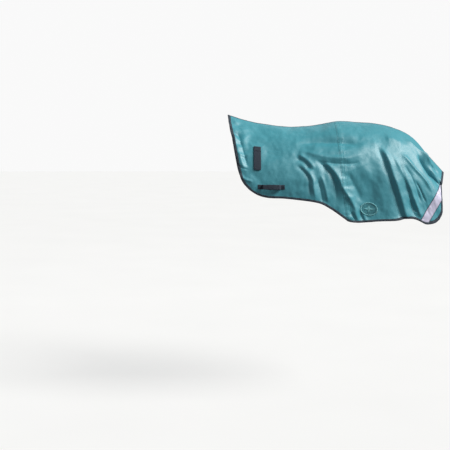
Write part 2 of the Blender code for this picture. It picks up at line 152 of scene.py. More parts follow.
def even_path(path: Array, step: float) -> Array:
    """Return a path with its places about one step apart."""
    count = max(2, int(round(run_lengths(path)[-1] / step)))
    return read_path(path, np.linspace(0.0, 1.0, count + 1))


def left_of(path: Array) -> Array:
    """Return the flat direction square to a path at each of its places."""
    ahead = unit(np.gradient(path, axis=0))
    return np.stack([-ahead[:, 1], ahead[:, 0]], -1)


# ==== folds and relief
@dataclass(frozen=True)
class Fold:
    """One fold in the cloth: a ridge, or a valley where its height is negative.

    Its path is (x, z) points in side view. near and far are its half widths on the head's and the
    tail's side, grow is how much wider it gets by its end, ends are the shares of its length over
    which it fades in and out, and crest is how round its top is: 0 is a sharp crease.
    """

    path: tuple[tuple[float, float], ...]
    height: float
    near: float
    far: float
    grow: float = 1.0
    ends: tuple[float, float] = (0.25, 0.25)
    crest: float = 0.45


@dataclass(frozen=True)
class Crinkle:
    """Random lumps in the cloth: their height, and their sizes along X and down the cloth."""

    height: float
    size_x: float
    size_c: float


@dataclass(frozen=True)
class Zone:
    """A part of the cloth with soft edges: a hump along X that comes in down the cloth."""

    middle: float
    width: float
    start: float
    run: float

    def mask(self, x: Array, size: Array) -> Array:
        """Return from 0 to 1 how much places at x and at a size of cloth are in the zone."""
        return bell(x, self.middle, self.width) * ramp(size, self.start, self.run)


CLOTH_CRINKLES = (
    Crinkle(0.0030, 0.190, 0.170), Crinkle(0.0018, 0.060, 0.110),
    Crinkle(0.0013, 0.026, 0.038), Crinkle(0.00038, 0.011, 0.014),
)
HEM_WAVE = Crinkle(0.0045, 0.085, 0.300)
EDGE_PUCKER = Crinkle(0.0009, 0.011, 0.014)
SEAM_PUCKER = Crinkle(0.0009, 0.040, 0.011)
REAR_RUFFLE = Crinkle(0.0016, 0.013, 0.026)
FLAP_CRINKLE = Crinkle(0.0014, 0.019, 0.050)
FRONT_CRINKLE = Crinkle(0.0030, 0.026, 0.020)
RIGHT_SHIFT = 0.010
RIGHT_STRENGTH = (0.75, 1.05)
HANG_ZONE = Zone(0.40, 0.13, 0.30, 0.36)
FLAP_ZONE = Zone(0.18, 0.14, 0.28, 0.12)
FRONT_ZONE = Zone(-0.30, 0.060, 0.0, 0.08)

# The lens-shaped hollow along the top of the side, with its lips.
LENS_FOLDS = (
    Fold(((0.010, -0.104), (0.131, -0.084), (0.255, -0.080), (0.396, -0.100)),
         -0.017, 0.026, 0.026, 1.0, (0.35, 0.30), 0.6),
    Fold(((0.024, -0.126), (0.098, -0.148), (0.180, -0.165), (0.250, -0.170), (0.320, -0.166),
          (0.394, -0.136)), 0.0075, 0.018, 0.018, 1.0, (0.25, 0.30), 0.35),
    Fold(((0.098, -0.176), (0.169, -0.192), (0.261, -0.200), (0.337, -0.196), (0.391, -0.172)),
         -0.008, 0.014, 0.012, 1.0, (0.30, 0.30), 0.30),
)
# The folds down the side, from under the saddle back to the flank.
FLAP_FOLDS = (
    Fold(((0.124, -0.180), (0.160, -0.208), (0.192, -0.241), (0.214, -0.279), (0.228, -0.322),
          (0.232, -0.410)), -0.0122, 0.018, 0.013, 0.9, (0.20, 0.25), 0.35),
    Fold(((0.146, -0.172), (0.190, -0.208), (0.240, -0.275), (0.263, -0.327), (0.314, -0.403),
          (0.362, -0.505)), 0.0122, 0.013, 0.020, 1.2, (0.20, 0.15), 0.30),
    Fold(((0.292, -0.236), (0.322, -0.306), (0.348, -0.352), (0.374, -0.420)),
         -0.0081, 0.024, 0.020),
    Fold(((0.006, -0.164), (0.056, -0.188), (0.098, -0.240)), -0.0072, 0.013, 0.009),
    Fold(((0.020, -0.150), (0.072, -0.178), (0.116, -0.232)), 0.0072, 0.010, 0.013),
    Fold(((0.011, -0.203), (0.048, -0.235), (0.078, -0.273), (0.083, -0.327), (0.092, -0.390)),
         -0.0079, 0.013, 0.010, 1.0, (0.20, 0.25), 0.30),
    Fold(((0.034, -0.196), (0.071, -0.236), (0.102, -0.286), (0.108, -0.340), (0.122, -0.400)),
         0.0072, 0.010, 0.014, 1.0, (0.25, 0.25), 0.30),
    Fold(((0.124, -0.270), (0.142, -0.330), (0.152, -0.380), (0.160, -0.425)),
         -0.0072, 0.012, 0.009, 1.0, (0.25, 0.25), 0.30),
    Fold(((0.142, -0.250), (0.166, -0.318), (0.178, -0.370), (0.188, -0.420)),
         0.0072, 0.009, 0.014, 1.0, (0.25, 0.25), 0.35),
    Fold(((0.300, -0.446), (0.343, -0.517)), -0.0072, 0.010, 0.007, 1.0, (0.4, 0.2)),
    Fold(((0.318, -0.440), (0.360, -0.517)), 0.0054, 0.006, 0.008, 1.0, (0.4, 0.2)),
    Fold(((0.352, -0.448), (0.386, -0.517)), -0.0063, 0.008, 0.007, 1.0, (0.4, 0.2)),
    Fold(((0.372, -0.450), (0.400, -0.517)), 0.0045, 0.006, 0.008, 1.0, (0.4, 0.2)),
)
# The folds that fall over the hip, and the hollow at the rear top corner.
HIP_FOLDS = (
    Fold(((0.458, -0.098), (0.490, -0.176), (0.508, -0.235), (0.528, -0.289), (0.545, -0.338),
          (0.571, -0.408), (0.600, -0.510)), -0.0115, 0.020, 0.013, 1.40, (0.18, 0.05), 0.35),
    Fold(((0.478, -0.098), (0.511, -0.170), (0.534, -0.240), (0.559, -0.310), (0.584, -0.381),
          (0.622, -0.505)), 0.0125, 0.012, 0.024, 1.30, (0.20, 0.05), 0.30),
    Fold(((0.560, -0.170), (0.600, -0.262), (0.626, -0.340), (0.650, -0.430), (0.672, -0.505)),
         -0.0081, 0.018, 0.012, 1.1, (0.25, 0.10), 0.40),
    Fold(((0.536, -0.140), (0.588, -0.240), (0.636, -0.333), (0.662, -0.398), (0.708, -0.505)),
         0.0094, 0.013, 0.020, 1.1, (0.25, 0.08), 0.30),
    Fold(((0.602, -0.200), (0.640, -0.262), (0.676, -0.340), (0.706, -0.425)),
         -0.0079, 0.016, 0.012, 1.1, (0.25, 0.20), 0.35),
    Fold(((0.586, -0.140), (0.642, -0.204), (0.697, -0.262), (0.740, -0.315), (0.775, -0.366)),
         0.0094, 0.013, 0.018, 1.0, (0.25, 0.22), 0.30),
    Fold(((0.664, -0.285), (0.702, -0.352), (0.735, -0.425)), -0.0072, 0.012, 0.009),
    Fold(((0.645, -0.392), (0.679, -0.475)), -0.0079, 0.012, 0.009, 1.4, (0.35, 0.25)),
    Fold(((0.690, -0.150), (0.744, -0.232), (0.775, -0.276), (0.813, -0.318), (0.848, -0.332)),
         -0.042, 0.019, 0.020, 1.20, (0.25, 0.15), 0.40),
    Fold(((0.700, -0.120), (0.744, -0.190), (0.790, -0.222), (0.826, -0.256), (0.848, -0.292)),
         0.024, 0.014, 0.015, 1.0, (0.30, 0.25), 0.30),
    Fold(((0.612, -0.050), (0.680, -0.118), (0.735, -0.176), (0.800, -0.230)),
         0.0072, 0.018, 0.016, 1.0, (0.30, 0.15), 0.35),
    Fold(((0.700, -0.130), (0.726, -0.176), (0.738, -0.222)), 0.0063, 0.009, 0.012),
    Fold(((0.736, -0.160), (0.764, -0.204), (0.786, -0.240)), -0.0054, 0.008, 0.008),
    Fold(((0.395, -0.150), (0.436, -0.200), (0.440, -0.300), (0.410, -0.400)),
         -0.0072, 0.050, 0.040, 1.0, (0.3, 0.3), 0.8),
    Fold(((0.505, -0.064), (0.560, -0.076), (0.612, -0.100)), 0.0063, 0.034, 0.034),
    Fold(((0.758, -0.230), (0.790, -0.262), (0.818, -0.280)), 0.0054, 0.006, 0.006),
    Fold(((0.752, -0.200), (0.786, -0.236), (0.812, -0.252)), -0.0045, 0.005, 0.006),
    Fold(((0.770, -0.196), (0.796, -0.222), (0.822, -0.236)), 0.0036, 0.005, 0.005),
)
# The small folds along the front edge.
FRONT_FOLDS = (
    Fold(((-0.330, -0.030), (-0.300, -0.130), (-0.262, -0.250)), 0.006, 0.010, 0.012),
    Fold(((-0.305, -0.010), (-0.276, -0.120), (-0.246, -0.235)), -0.006, 0.010, 0.009),
    Fold(((-0.322, -0.120), (-0.290, -0.152), (-0.255, -0.160)), 0.005, 0.007, 0.007),
    Fold(((-0.310, -0.200), (-0.278, -0.226), (-0.240, -0.232)), -0.005, 0.007, 0.007),
    Fold(((-0.300, -0.250), (-0.262, -0.286), (-0.215, -0.300)), 0.005, 0.007, 0.007),
)


@dataclass(frozen=True)
class Station:
    """The back's section at a share of the rug's length."""

    share: float
    rise: float
    roof: float
    turn: float


BACK = (
    Station(0.000, 0.074, 32.0, 1.00), Station(0.093, 0.037, 26.0, 1.00),
    Station(0.200, 0.010, 19.0, 1.00), Station(0.288, 0.000, 14.0, 1.00),
    Station(0.385, 0.006, 10.0, 1.00), Station(0.500, 0.029, 8.0, 0.97),
    Station(0.580, 0.026, 8.0, 0.94), Station(0.685, 0.016, 8.0, 0.92),
    Station(0.762, -0.006, 9.0, 0.90), Station(0.837, -0.052, 10.0, 0.84),
    Station(0.912, -0.144, 12.0, 0.76), Station(1.000, -0.259, 14.0, 0.62),
)
FRONT_EDGE = (
    (0.000, 0.000), (0.009, 0.110), (0.022, 0.235), (0.035, 0.380), (0.052, 0.545),
    (0.068, 0.620), (0.095, 0.680),
)
HEM_EDGE = (
    (0.095, 0.680), (0.130, 0.723), (0.174, 0.745), (0.248, 0.746), (0.322, 0.762),
    (0.401, 0.796), (0.454, 0.862), (0.510, 0.952), (0.546, 0.992), (0.637, 0.991),
    (0.733, 0.981), (0.786, 0.960), (0.821, 0.960), (0.866, 1.008), (0.888, 1.032),
    (0.924, 1.020), (0.946, 0.965),
)
REAR_EDGE = (
    (1.000, 0.000), (0.980, 0.150), (0.964, 0.350), (0.958, 0.550), (0.960, 0.830),
    (0.946, 0.965),
)


@dataclass
class Relief:
    """Heights of the cloth over the bare back, on a fine grid of (x, cloth) places."""

    low_x: float = -0.420
    high_x: float = 0.940
    reach: float = 0.800
    step: float = 0.002
    seed: int = 41
    falloff: float = 1.5
    press_reach: float = 4.0
    heights: Array = field(init=False)

    def __post_init__(self) -> None:
        """Lay out the grid."""
        self.xs = np.arange(self.low_x, self.high_x + self.step / 2, self.step)
        self.cloths = np.arange(-self.reach, self.reach + self.step / 2, self.step)
        self.grid_x, self.grid_c = np.meshgrid(self.xs, self.cloths, indexing="ij")
        self.heights = np.zeros_like(self.grid_x)
        self.random = np.random.default_rng(self.seed)

    def press(self, path: Array, fold: Fold) -> None:
        """Add a fold along a path.

        Args:
            path: the fold's (x, cloth) places.
            fold: its height and widths.
        """
        reach = self.press_reach * max(fold.near, fold.far) * max(fold.grow, 1.0)
        low, high = path.min(0) - reach, path.max(0) + reach
        a, b = np.searchsorted(self.xs, (low[0], high[0]))
        c, d = np.searchsorted(self.cloths, (low[1], high[1]))
        x, cloth = self.grid_x[a:b, c:d], self.grid_c[a:b, c:d]
        lengths = run_lengths(path)
        best = np.full(x.shape, 1e9)
        share, side = np.zeros(x.shape), np.zeros(x.shape)
        for k in range(len(path) - 1):
            run = path[k + 1] - path[k]
            size = run @ run
            t = np.clip(((x - path[k, 0]) * run[0] + (cloth - path[k, 1]) * run[1]) / size, 0, 1)
            off_x, off_c = x - path[k, 0] - t * run[0], cloth - path[k, 1] - t * run[1]
            gap = off_x ** 2 + off_c ** 2
            closer = gap < best
            best = np.where(closer, gap, best)
            share = np.where(closer, (lengths[k] + t * math.sqrt(size)) / lengths[-1], share)
            side = np.where(closer, off_x, side)
        blend = smooth_step(side / (0.5 * (fold.near + fold.far)) + 0.5)
        width = (fold.near * (1 - blend) + fold.far * blend) * (1 + (fold.grow - 1) * share)
        fade = smooth_step(share / fold.ends[0]) * smooth_step((1 - share) / fold.ends[1])
        slack = np.sqrt(best / width ** 2 + fold.crest ** 2) - fold.crest
        self.heights[a:b, c:d] += fold.height * fade * np.exp(-self.falloff * slack)

    def rumple(self, size_x: float, size_c: float) -> Array:
        """Return a smooth random field over the grid, with a spread of about one.

        Args:
            size_x: the size of its lumps along X.
            size_c: the size of its lumps down the cloth.

        Returns:
            One value for each place on the grid.
        """
        def weights(values: Array, size: float) -> Array:
            """Return how much each place on one axis takes from each lattice line."""
            at = (values - values[0]) / size + 1.0
            cell = np.floor(at).astype(int)
            t = at - cell
            table = np.zeros((len(values), cell[-1] + 3))
            rows = np.arange(len(values))
            for shift, weight in enumerate((
                    (1 - t) ** 3, 3 * t ** 3 - 6 * t ** 2 + 4,
                    -3 * t ** 3 + 3 * t ** 2 + 3 * t + 1, t ** 3)):
                table[rows, cell - 1 + shift] = weight / 6
            return table

        across, down = weights(self.xs, size_x), weights(self.cloths, size_c)
        lattice = self.random.standard_normal((across.shape[1], down.shape[1]))
        return 2.0 * across @ lattice @ down.T

    def crinkle(self, lumps: Crinkle, mask: Array | float = 1.0) -> None:
        """Add random lumps, by as much as a mask lets through."""
        self.heights += lumps.height * mask * self.rumple(lumps.size_x, lumps.size_c)

    def soften(self) -> None:
        """Blur the heights by one cell, so that no grid line shows."""
        for axis in (0, 1):
            moved = np.roll(self.heights, 1, axis) + np.roll(self.heights, -1, axis)
            self.heights = 0.5 * self.heights + 0.25 * moved

    def read(self, x: Array, cloth: Array) -> Array:
        """Return the heights at some places.

        Args:
            x: places along X.
            cloth: lengths of cloth from the spine, negative on the left.

        Returns:
            One height for each place.
        """
        a = np.clip((x - self.low_x) / self.step, 0, len(self.xs) - 1.001)
        b = np.clip((cloth + self.reach) / self.step, 0, len(self.cloths) - 1.001)
        i, j = a.astype(int), b.astype(int)
        s, t = a - i, b - j
        table = self.heights
        return ((table[i, j] * (1 - t) + table[i, j + 1] * t) * (1 - s)
                + (table[i + 1, j] * (1 - t) + table[i + 1, j + 1] * t) * s)


# ==== the cloth over the back
@dataclass
class Drape:
    """The rug's cloth over the horse's back, as a surface of (x, cloth) places.

    The folds stand out to the side only from level_start on. edge_calm and rear_calm are how much
    of the folds is lost at an edge and within what distance of it. A wave, which front_hold weakens
    under the saddle, runs along the hem, and small puckers lie along the edges and the seams.
    """

    length: float = 1.233
    front_reach: float = 0.355
    side_drop: float = 0.520
    turn_length: float = 0.500
    ridge: float = 0.012
    seam_share: float = 0.5
    probe: float = 0.002
    hang: float = 0.020
    level_start: float = 0.72
    level_run: float = 0.08
    edge_calm: tuple[float, float] = (0.45, 0.014)
    rear_calm: tuple[float, float] = (0.50, 0.012)
    rear_start: float = 0.74
    rear_run: float = 0.05
    wave_reach: float = 0.07
    wave_start: float = 0.20
    front_hold: float = 0.35
    pucker_reach: float = 0.022
    seam_reach: float = 0.034
    seam_places: int = 60
    tab_margin: float = 0.035
    ridge_height: float = 0.25
    relief: Relief = field(default_factory=Relief)

    def __post_init__(self) -> None:
        """Read the stations, draw the outlines and press the folds."""
        self.table = np.array([(s.share, s.rise, s.roof, s.turn) for s in BACK])
        self.front = self.outline(FRONT_EDGE)
        self.hem = self.outline(HEM_EDGE)
        self.rear = self.outline(REAR_EDGE)
        self.press_relief()

    def station(self, share: Array, column: int) -> Array:
        """Return one column of the stations at shares of the length, on a smooth curve.

        Args:
            share: shares of the rug's length.
            column: the column of the table.

        Returns:
            One value for each share.
        """
        rows = self.table
        last = len(rows) - 1
        cell = np.clip(np.searchsorted(rows[:, 0], share, side="left") - 1, 0, last - 1)

        def slope(index: Array) -> Array:
            """Return the curve's slope at stations."""
            low, high = rows[np.maximum(index - 1, 0)], rows[np.minimum(index + 1, last)]
            return (high[..., column] - low[..., column]) / (high[..., 0] - low[..., 0])

        start, end = rows[cell], rows[cell + 1]
        width = end[..., 0] - start[..., 0]
        t = np.clip((share - start[..., 0]) / width, 0.0, 1.0)
        square, cube = t * t, t * t * t
        return ((2 * cube - 3 * square + 1) * start[..., column]
                + (cube - 2 * square + t) * width * slope(cell)
                + (3 * square - 2 * cube) * end[..., column]
                + (cube - square) * width * slope(cell + 1))

    def along(self, share: float) -> float:
        """Return the place along X at a share of the rug's length."""
        return share * self.length - self.front_reach

    def section(self, x: Array) -> tuple[Array, Array, Array, Array]:
        """Return the spine height, roof angle, turn length and turn angle at x.

        Args:
            x: places along X.

        Returns:
            The four, each with one value for each place.
        """
        share = (np.asarray(x, float) + self.front_reach) / self.length
        roof = np.radians(self.station(share, 2))
        turn = self.station(share, 3) * self.turn_length
        return self.station(share, 1), roof, turn, math.pi / 2 - roof

    def back(self, x: Array, cloth: Array) -> Array:
        """Return points of the bare back, with its ridge rounded.

        Args:
            x: places along X.
            cloth: lengths of cloth from the spine, negative on the left.

        Returns:
            One point for each place.
        """
        spine, roof, turn, angle = self.section(x)
        radius = turn / angle
        size = np.abs(cloth)
        bent = np.minimum(size, turn) / radius
        out = radius * (np.sin(roof + bent) - np.sin(roof))
        down = radius * (np.cos(roof) - np.cos(roof + bent)) + np.maximum(size - turn, 0.0)
        down = down + np.tan(roof) * (np.sqrt(out ** 2 + self.ridge ** 2) - out)
        return np.stack([x + 0 * cloth, np.sign(cloth) * out, spine - down], -1)

    def cloth_at_depth(self, x: Array, depth: Array) -> Array:
        """Return the length of cloth from the spine that reaches a depth under the spine.

        Args:
            x: places along X.
            depth: depths under the spine.

        Returns:
            One length for each place.
        """
        _, roof, turn, angle = self.section(x)
        radius = turn / angle
        upright = radius * np.cos(roof)
        bend = (np.arccos(np.clip(np.cos(roof) - depth / radius, -1.0, 1.0)) - roof) * radius
        return np.where(depth >= upright, turn + depth - upright, bend)

    def flat(self, share: float, drop: float) -> Array:
        """Return the (x, cloth) place of a point given by its shares in side view."""
        x = self.along(share)
        depth = drop * (self.section(x)[0] + self.side_drop)
        return np.array([x, float(self.cloth_at_depth(x, depth))])

    def outline(self, points: Sequence[tuple[float, float]]) -> Array:
        """Return the smooth flat outline through points given by their shares."""
        return spline([self.flat(*point) for point in points])

    def net(self, u: Array, v: Array, side: Side) -> Array:
        """Return (x, cloth) places inside the outline.

        Args:
            u: shares of the way from the front edge to the rear edge.
            v: shares of the way from the spine to the hem.
            side: the side of the rug.

        Returns:
            One flat place for each pair.
        """
        u, v = np.broadcast_arrays(np.asarray(u, float), np.asarray(v, float))
        a, b = u[..., None], v[..., None]

        def read(path: Array, shares: Array) -> Array:
            """Return the places at a grid of shares of a path's length."""
            return read_path(path, shares.ravel()).reshape(*shares.shape, 2)

        top = np.stack([self.along(0) + u * self.length, 0 * u], -1)
        hem, front, rear = read(self.hem, u), read(self.front, v), read(self.rear, v)
        ends = (self.front[0] * (1 - a) + self.rear[0] * a) * (1 - b)
        ends = ends + (self.hem[0] * (1 - a) + self.hem[-1] * a) * b
        place = top * (1 - b) + hem * b + front * (1 - a) + rear * a - ends
        return place * side.flip

    def skin(self, place: Array) -> Array:
        """Return the cloth's points at flat places, folds and all.

        Near the rear edge the folds stand out to the side only, so that the edge keeps its outline.

        Args:
            place: flat (x, cloth) places.

        Returns:
            One point for each place.
        """
        x, cloth = place[..., 0], place[..., 1]
        step = self.probe
        forward = self.back(x + step, cloth) - self.back(x - step, cloth)
        downward = self.back(x, cloth + step) - self.back(x, cloth - step)
        out = unit(np.cross(forward, downward))
        level = ramp(x, self.level_start, self.level_run)[..., None]
        out = out * (1 - level * np.array([1.0, 0.0, 1.0]))
        return self.back(x, cloth) + out * self.relief.read(x, cloth)[..., None]

    def normals(self, place: Array) -> Array:
        """Return the outward normals of the folded cloth at flat places.

        Args:
            place: flat (x, cloth) places.

        Returns:
            One normal for each place.
        """
        step = self.probe
        forward = self.skin(place + [step, 0]) - self.skin(place - [step, 0])
        downward = self.skin(place + [0, step]) - self.skin(place - [0, step])
        return unit(np.cross(forward, downward))

    def lift(self, place: Array, height: Array | float) -> Array:
        """Return points at a height over the cloth.

        Args:
            place: flat (x, cloth) places.
            height: the height over each, or one for all.

        Returns:
            One point for each place.
        """
        return self.skin(place) + self.normals(place) * np.asarray(height)[..., None]

    def edge_gap(self) -> Array:
        """Return the distance to the nearest edge of the rug, over the relief's grid.

        It is worked out on every sixth line of the grid, and filled in between.

        Returns:
            One distance for each place on the grid.
        """
        relief = self.relief
        rough = 6
        edges = np.vstack([even_path(path, 0.008) for path in (self.front, self.hem, self.rear)])
        xs, cs = relief.xs[::rough], np.abs(relief.cloths[::rough])
        gap = np.full((len(xs), len(cs)), 1e9)
        for x, cloth in edges:
            gap = np.minimum(gap, np.hypot(xs[:, None] - x, cs[None, :] - cloth))
        rows = np.interp(relief.xs, xs, np.arange(len(xs)))
        cols = np.interp(relief.cloths, relief.cloths[::rough], np.arange(len(cs)))
        i, j = np.minimum(rows.astype(int), len(xs) - 2), np.minimum(cols.astype(int), len(cs) - 2)
        s, t = (rows - i)[:, None], (cols - j)[None, :]
        near = gap[i][:, j] * (1 - t) + gap[i][:, j + 1] * t
        far = gap[i + 1][:, j] * (1 - t) + gap[i + 1][:, j + 1] * t
        return near * (1 - s) + far * s

    def press_relief(self) -> None:
        """Press the folds, the crinkles and the puckers at the seams into the relief."""
        relief = self.relief
        x, cloth = relief.grid_x, relief.grid_c
        size = np.abs(cloth)
        gap = self.edge_gap()
        for side in Side:
            for fold in LENS_FOLDS + FLAP_FOLDS + HIP_FOLDS + FRONT_FOLDS:
                self.press_fold(fold, side)
        relief.heights -= self.hang * HANG_ZONE.mask(x, size)
        for lumps in CLOTH_CRINKLES:
            relief.crinkle(lumps)
        low, hold = ramp(size, self.wave_start, self.wave_start), self.front_hold
        loose = hold + (1 - hold) * ramp(x, 0.02, 0.10)
        relief.crinkle(HEM_WAVE, np.exp(-gap / self.wave_reach) * low * loose)
        share, reach = self.edge_calm
        relief.heights *= 1 - share * np.exp(-gap / reach)
        share, reach = self.rear_calm
        relief.heights *= 1 - share * bell(gap, 0.0, reach) * ramp(x, self.rear_start, self.rear_run)
        relief.crinkle(EDGE_PUCKER, np.exp(-gap / self.pucker_reach))
        count = self.seam_places
        seam = self.net(np.full(count, self.seam_share), np.linspace(0, 1, count), Side.RIGHT)
        off_seam = x - np.interp(size, seam[:, 1], seam[:, 0])
        relief.crinkle(SEAM_PUCKER, bell(off_seam, 0.0, self.seam_reach))
        relief.crinkle(REAR_RUFFLE, bell(x, 0.80, 0.045) * bell(size, 0.13, 0.10))
        relief.crinkle(FLAP_CRINKLE, FLAP_ZONE.mask(x, size))
        relief.crinkle(FRONT_CRINKLE, FRONT_ZONE.mask(x, size))
        tab_x, tab_cloth = self.flat(*SaddleTab.place)
        off_x = np.abs(x - tab_x) - SaddleTab.width / 2
        off_c = np.maximum(tab_cloth - SaddleTab.base - size, size - tab_cloth - SaddleTab.length)
        relief.heights *= smooth_step(np.maximum(off_x, off_c) / self.tab_margin)
        relief.heights *= self.ridge_height + (1 - self.ridge_height) * ramp(size, -0.01, 0.07)
        relief.soften()

    def press_fold(self, fold: Fold, side: Side) -> None:
        """Press one fold on one side; the right side's copies are moved and weakened a little.

        Args:
            fold: the fold.
            side: the side of the rug.
        """
        path = spline(fold.path, 6)
        strength = 1.0
        if side is Side.RIGHT:
            path = path + self.relief.random.normal(0.0, RIGHT_SHIFT, 2)
            strength = self.relief.random.uniform(*RIGHT_STRENGTH)
        depth = np.maximum(self.section(path[:, 0])[0] - path[:, 1], 0.0)
        flat = np.stack([path[:, 0], self.cloth_at_depth(path[:, 0], depth) * side.value], -1)
        self.relief.press(flat, replace(fold, height=fold.height * strength))


# ==== making meshes
def signed_volume(points: Array, faces: list[list[int]]) -> float:
    """Return six times the volume that a closed mesh encloses, negative if it is inside out.

    Args:
        points: its vertices.
        faces: its faces, as lists of vertex numbers.

    Returns:
        Six times its volume.
    """
    total = 0.0
    by_size: dict[int, list[list[int]]] = {}
    for face in faces:
        by_size.setdefault(len(face), []).append(face)
    for size, group in by_size.items():
        index = np.array(group)
        for k in range(1, size - 1):
            a, b, c = points[index[:, 0]], points[index[:, k]], points[index[:, k + 1]]
            total += float(np.einsum("ij,ij->", a, np.cross(b, c)))
    return total


def put_in_scene(name: str, data: bpy.types.ID) -> bpy.types.Object:
    """Return a new object in the scene that shows a mesh, a lamp or a camera."""
    item = bpy.data.objects.new(name, data)
    bpy.context.scene.collection.objects.link(item)
    return item


def new_piece(name: str, points: Array, faces: list[list[int]], uvs: Array) -> bpy.types.Object:
    """Make a closed mesh object whose faces point outwards.

    Args:
        name: the piece's name.
        points: its vertices.
        faces: its faces, as lists of vertex numbers.
        uvs: the flat place of each vertex, in metres.

    Returns:
        The new object, with smooth faces.
    """
    if signed_volume(points - points.mean(0), faces) < 0:
        faces = [face[::-1] for face in faces]
    mesh = bpy.data.meshes.new(name)
    mesh.from_pydata(points.tolist(), [], faces)
    layer = mesh.uv_layers.new(name=UV_NAME)
    corners_of = np.empty(len(mesh.loops), dtype=np.int32)
    mesh.loops.foreach_get("vertex_index", corners_of)
    layer.data.foreach_set("uv", uvs[corners_of].astype(np.float32).ravel())
    mesh.shade_smooth()
    mesh.update()
    return put_in_scene(name, mesh)


def slab(name: str, top: Array, bottom: Array, flat: Array) -> bpy.types.Object:
    """Make a closed sheet between two grids of points.

    Args:
        name: the piece's name.
        top: its outer face, as rows of points.
        bottom: its inner face, as rows of points.
        flat: the flat place of each point, for the cloth's pattern.

    Returns:
        The new object.
    """
    rows, cols = top.shape[:2]
    index = np.arange(rows * cols).reshape(rows, cols)
    under = index + rows * cols
    quads = [np.stack([index[:-1, :-1], index[1:, :-1], index[1:, 1:], index[:-1, 1:]], -1),
             np.stack([under[:-1, :-1], under[:-1, 1:], under[1:, 1:], under[1:, :-1]], -1)]
    rim = np.concatenate([index[0, :-1], index[:-1, -1], index[-1, :0:-1], index[:0:-1, 0]])
    low = rim + rows * cols
    ahead, low_ahead = np.roll(rim, -1), np.roll(low, -1)
    quads.append(np.stack([rim, ahead, low_ahead, low], -1)[None])
    faces = [face for block in quads for face in block.reshape(-1, 4).tolist()]
    points = np.concatenate([top.reshape(-1, 3), bottom.reshape(-1, 3)])
    uvs = np.concatenate([flat.reshape(-1, 2)] * 2)
    return new_piece(name, points, faces, uvs)


def tube(name: str, rings: Array, uvs: Array, closed: bool = False) -> bpy.types.Object:
    """Make a closed piece by skinning rings of points.

    Args:
        name: the piece's name.
        rings: one ring of points for each place along the piece.
        uvs: the flat place of each point.
        closed: whether the last ring joins the first.

    Returns:
        The new object.
    """
    count, size = rings.shape[:2]
    index = np.arange(count * size).reshape(count, size)
    ahead = np.roll(index, -1, axis=0) if closed else index[1:]
    here = index if closed else index[:-1]
    quads = np.stack([here, np.roll(here, -1, 1), np.roll(ahead, -1, 1), ahead], -1)
    faces = quads.reshape(-1, 4).tolist()
    if not closed:
        faces += [index[0].tolist()[::-1], index[-1].tolist()]
    return new_piece(name, rings.reshape(-1, 3), faces, uvs.reshape(-1, 2))


# ==== finishes
def add_node(tree: bpy.types.NodeTree, kind: str, inputs: dict[str | int, object] | None = None,
             **settings: object) -> bpy.types.Node:
    """Add a node to a tree.

    Args:
        tree: the tree.
        kind: the node's type.
        inputs: values or sockets for its inputs, by name or number.
        **settings: the node's own properties.

    Returns:
        The new node.
    """
    node = tree.nodes.new(kind)
    for name, value in settings.items():
        setattr(node, name, value)
    for key, value in (inputs or {}).items():
        if isinstance(value, bpy.types.NodeSocket):
            tree.links.new(value, node.inputs[key])
        else:
            node.inputs[key].default_value = value
    return node


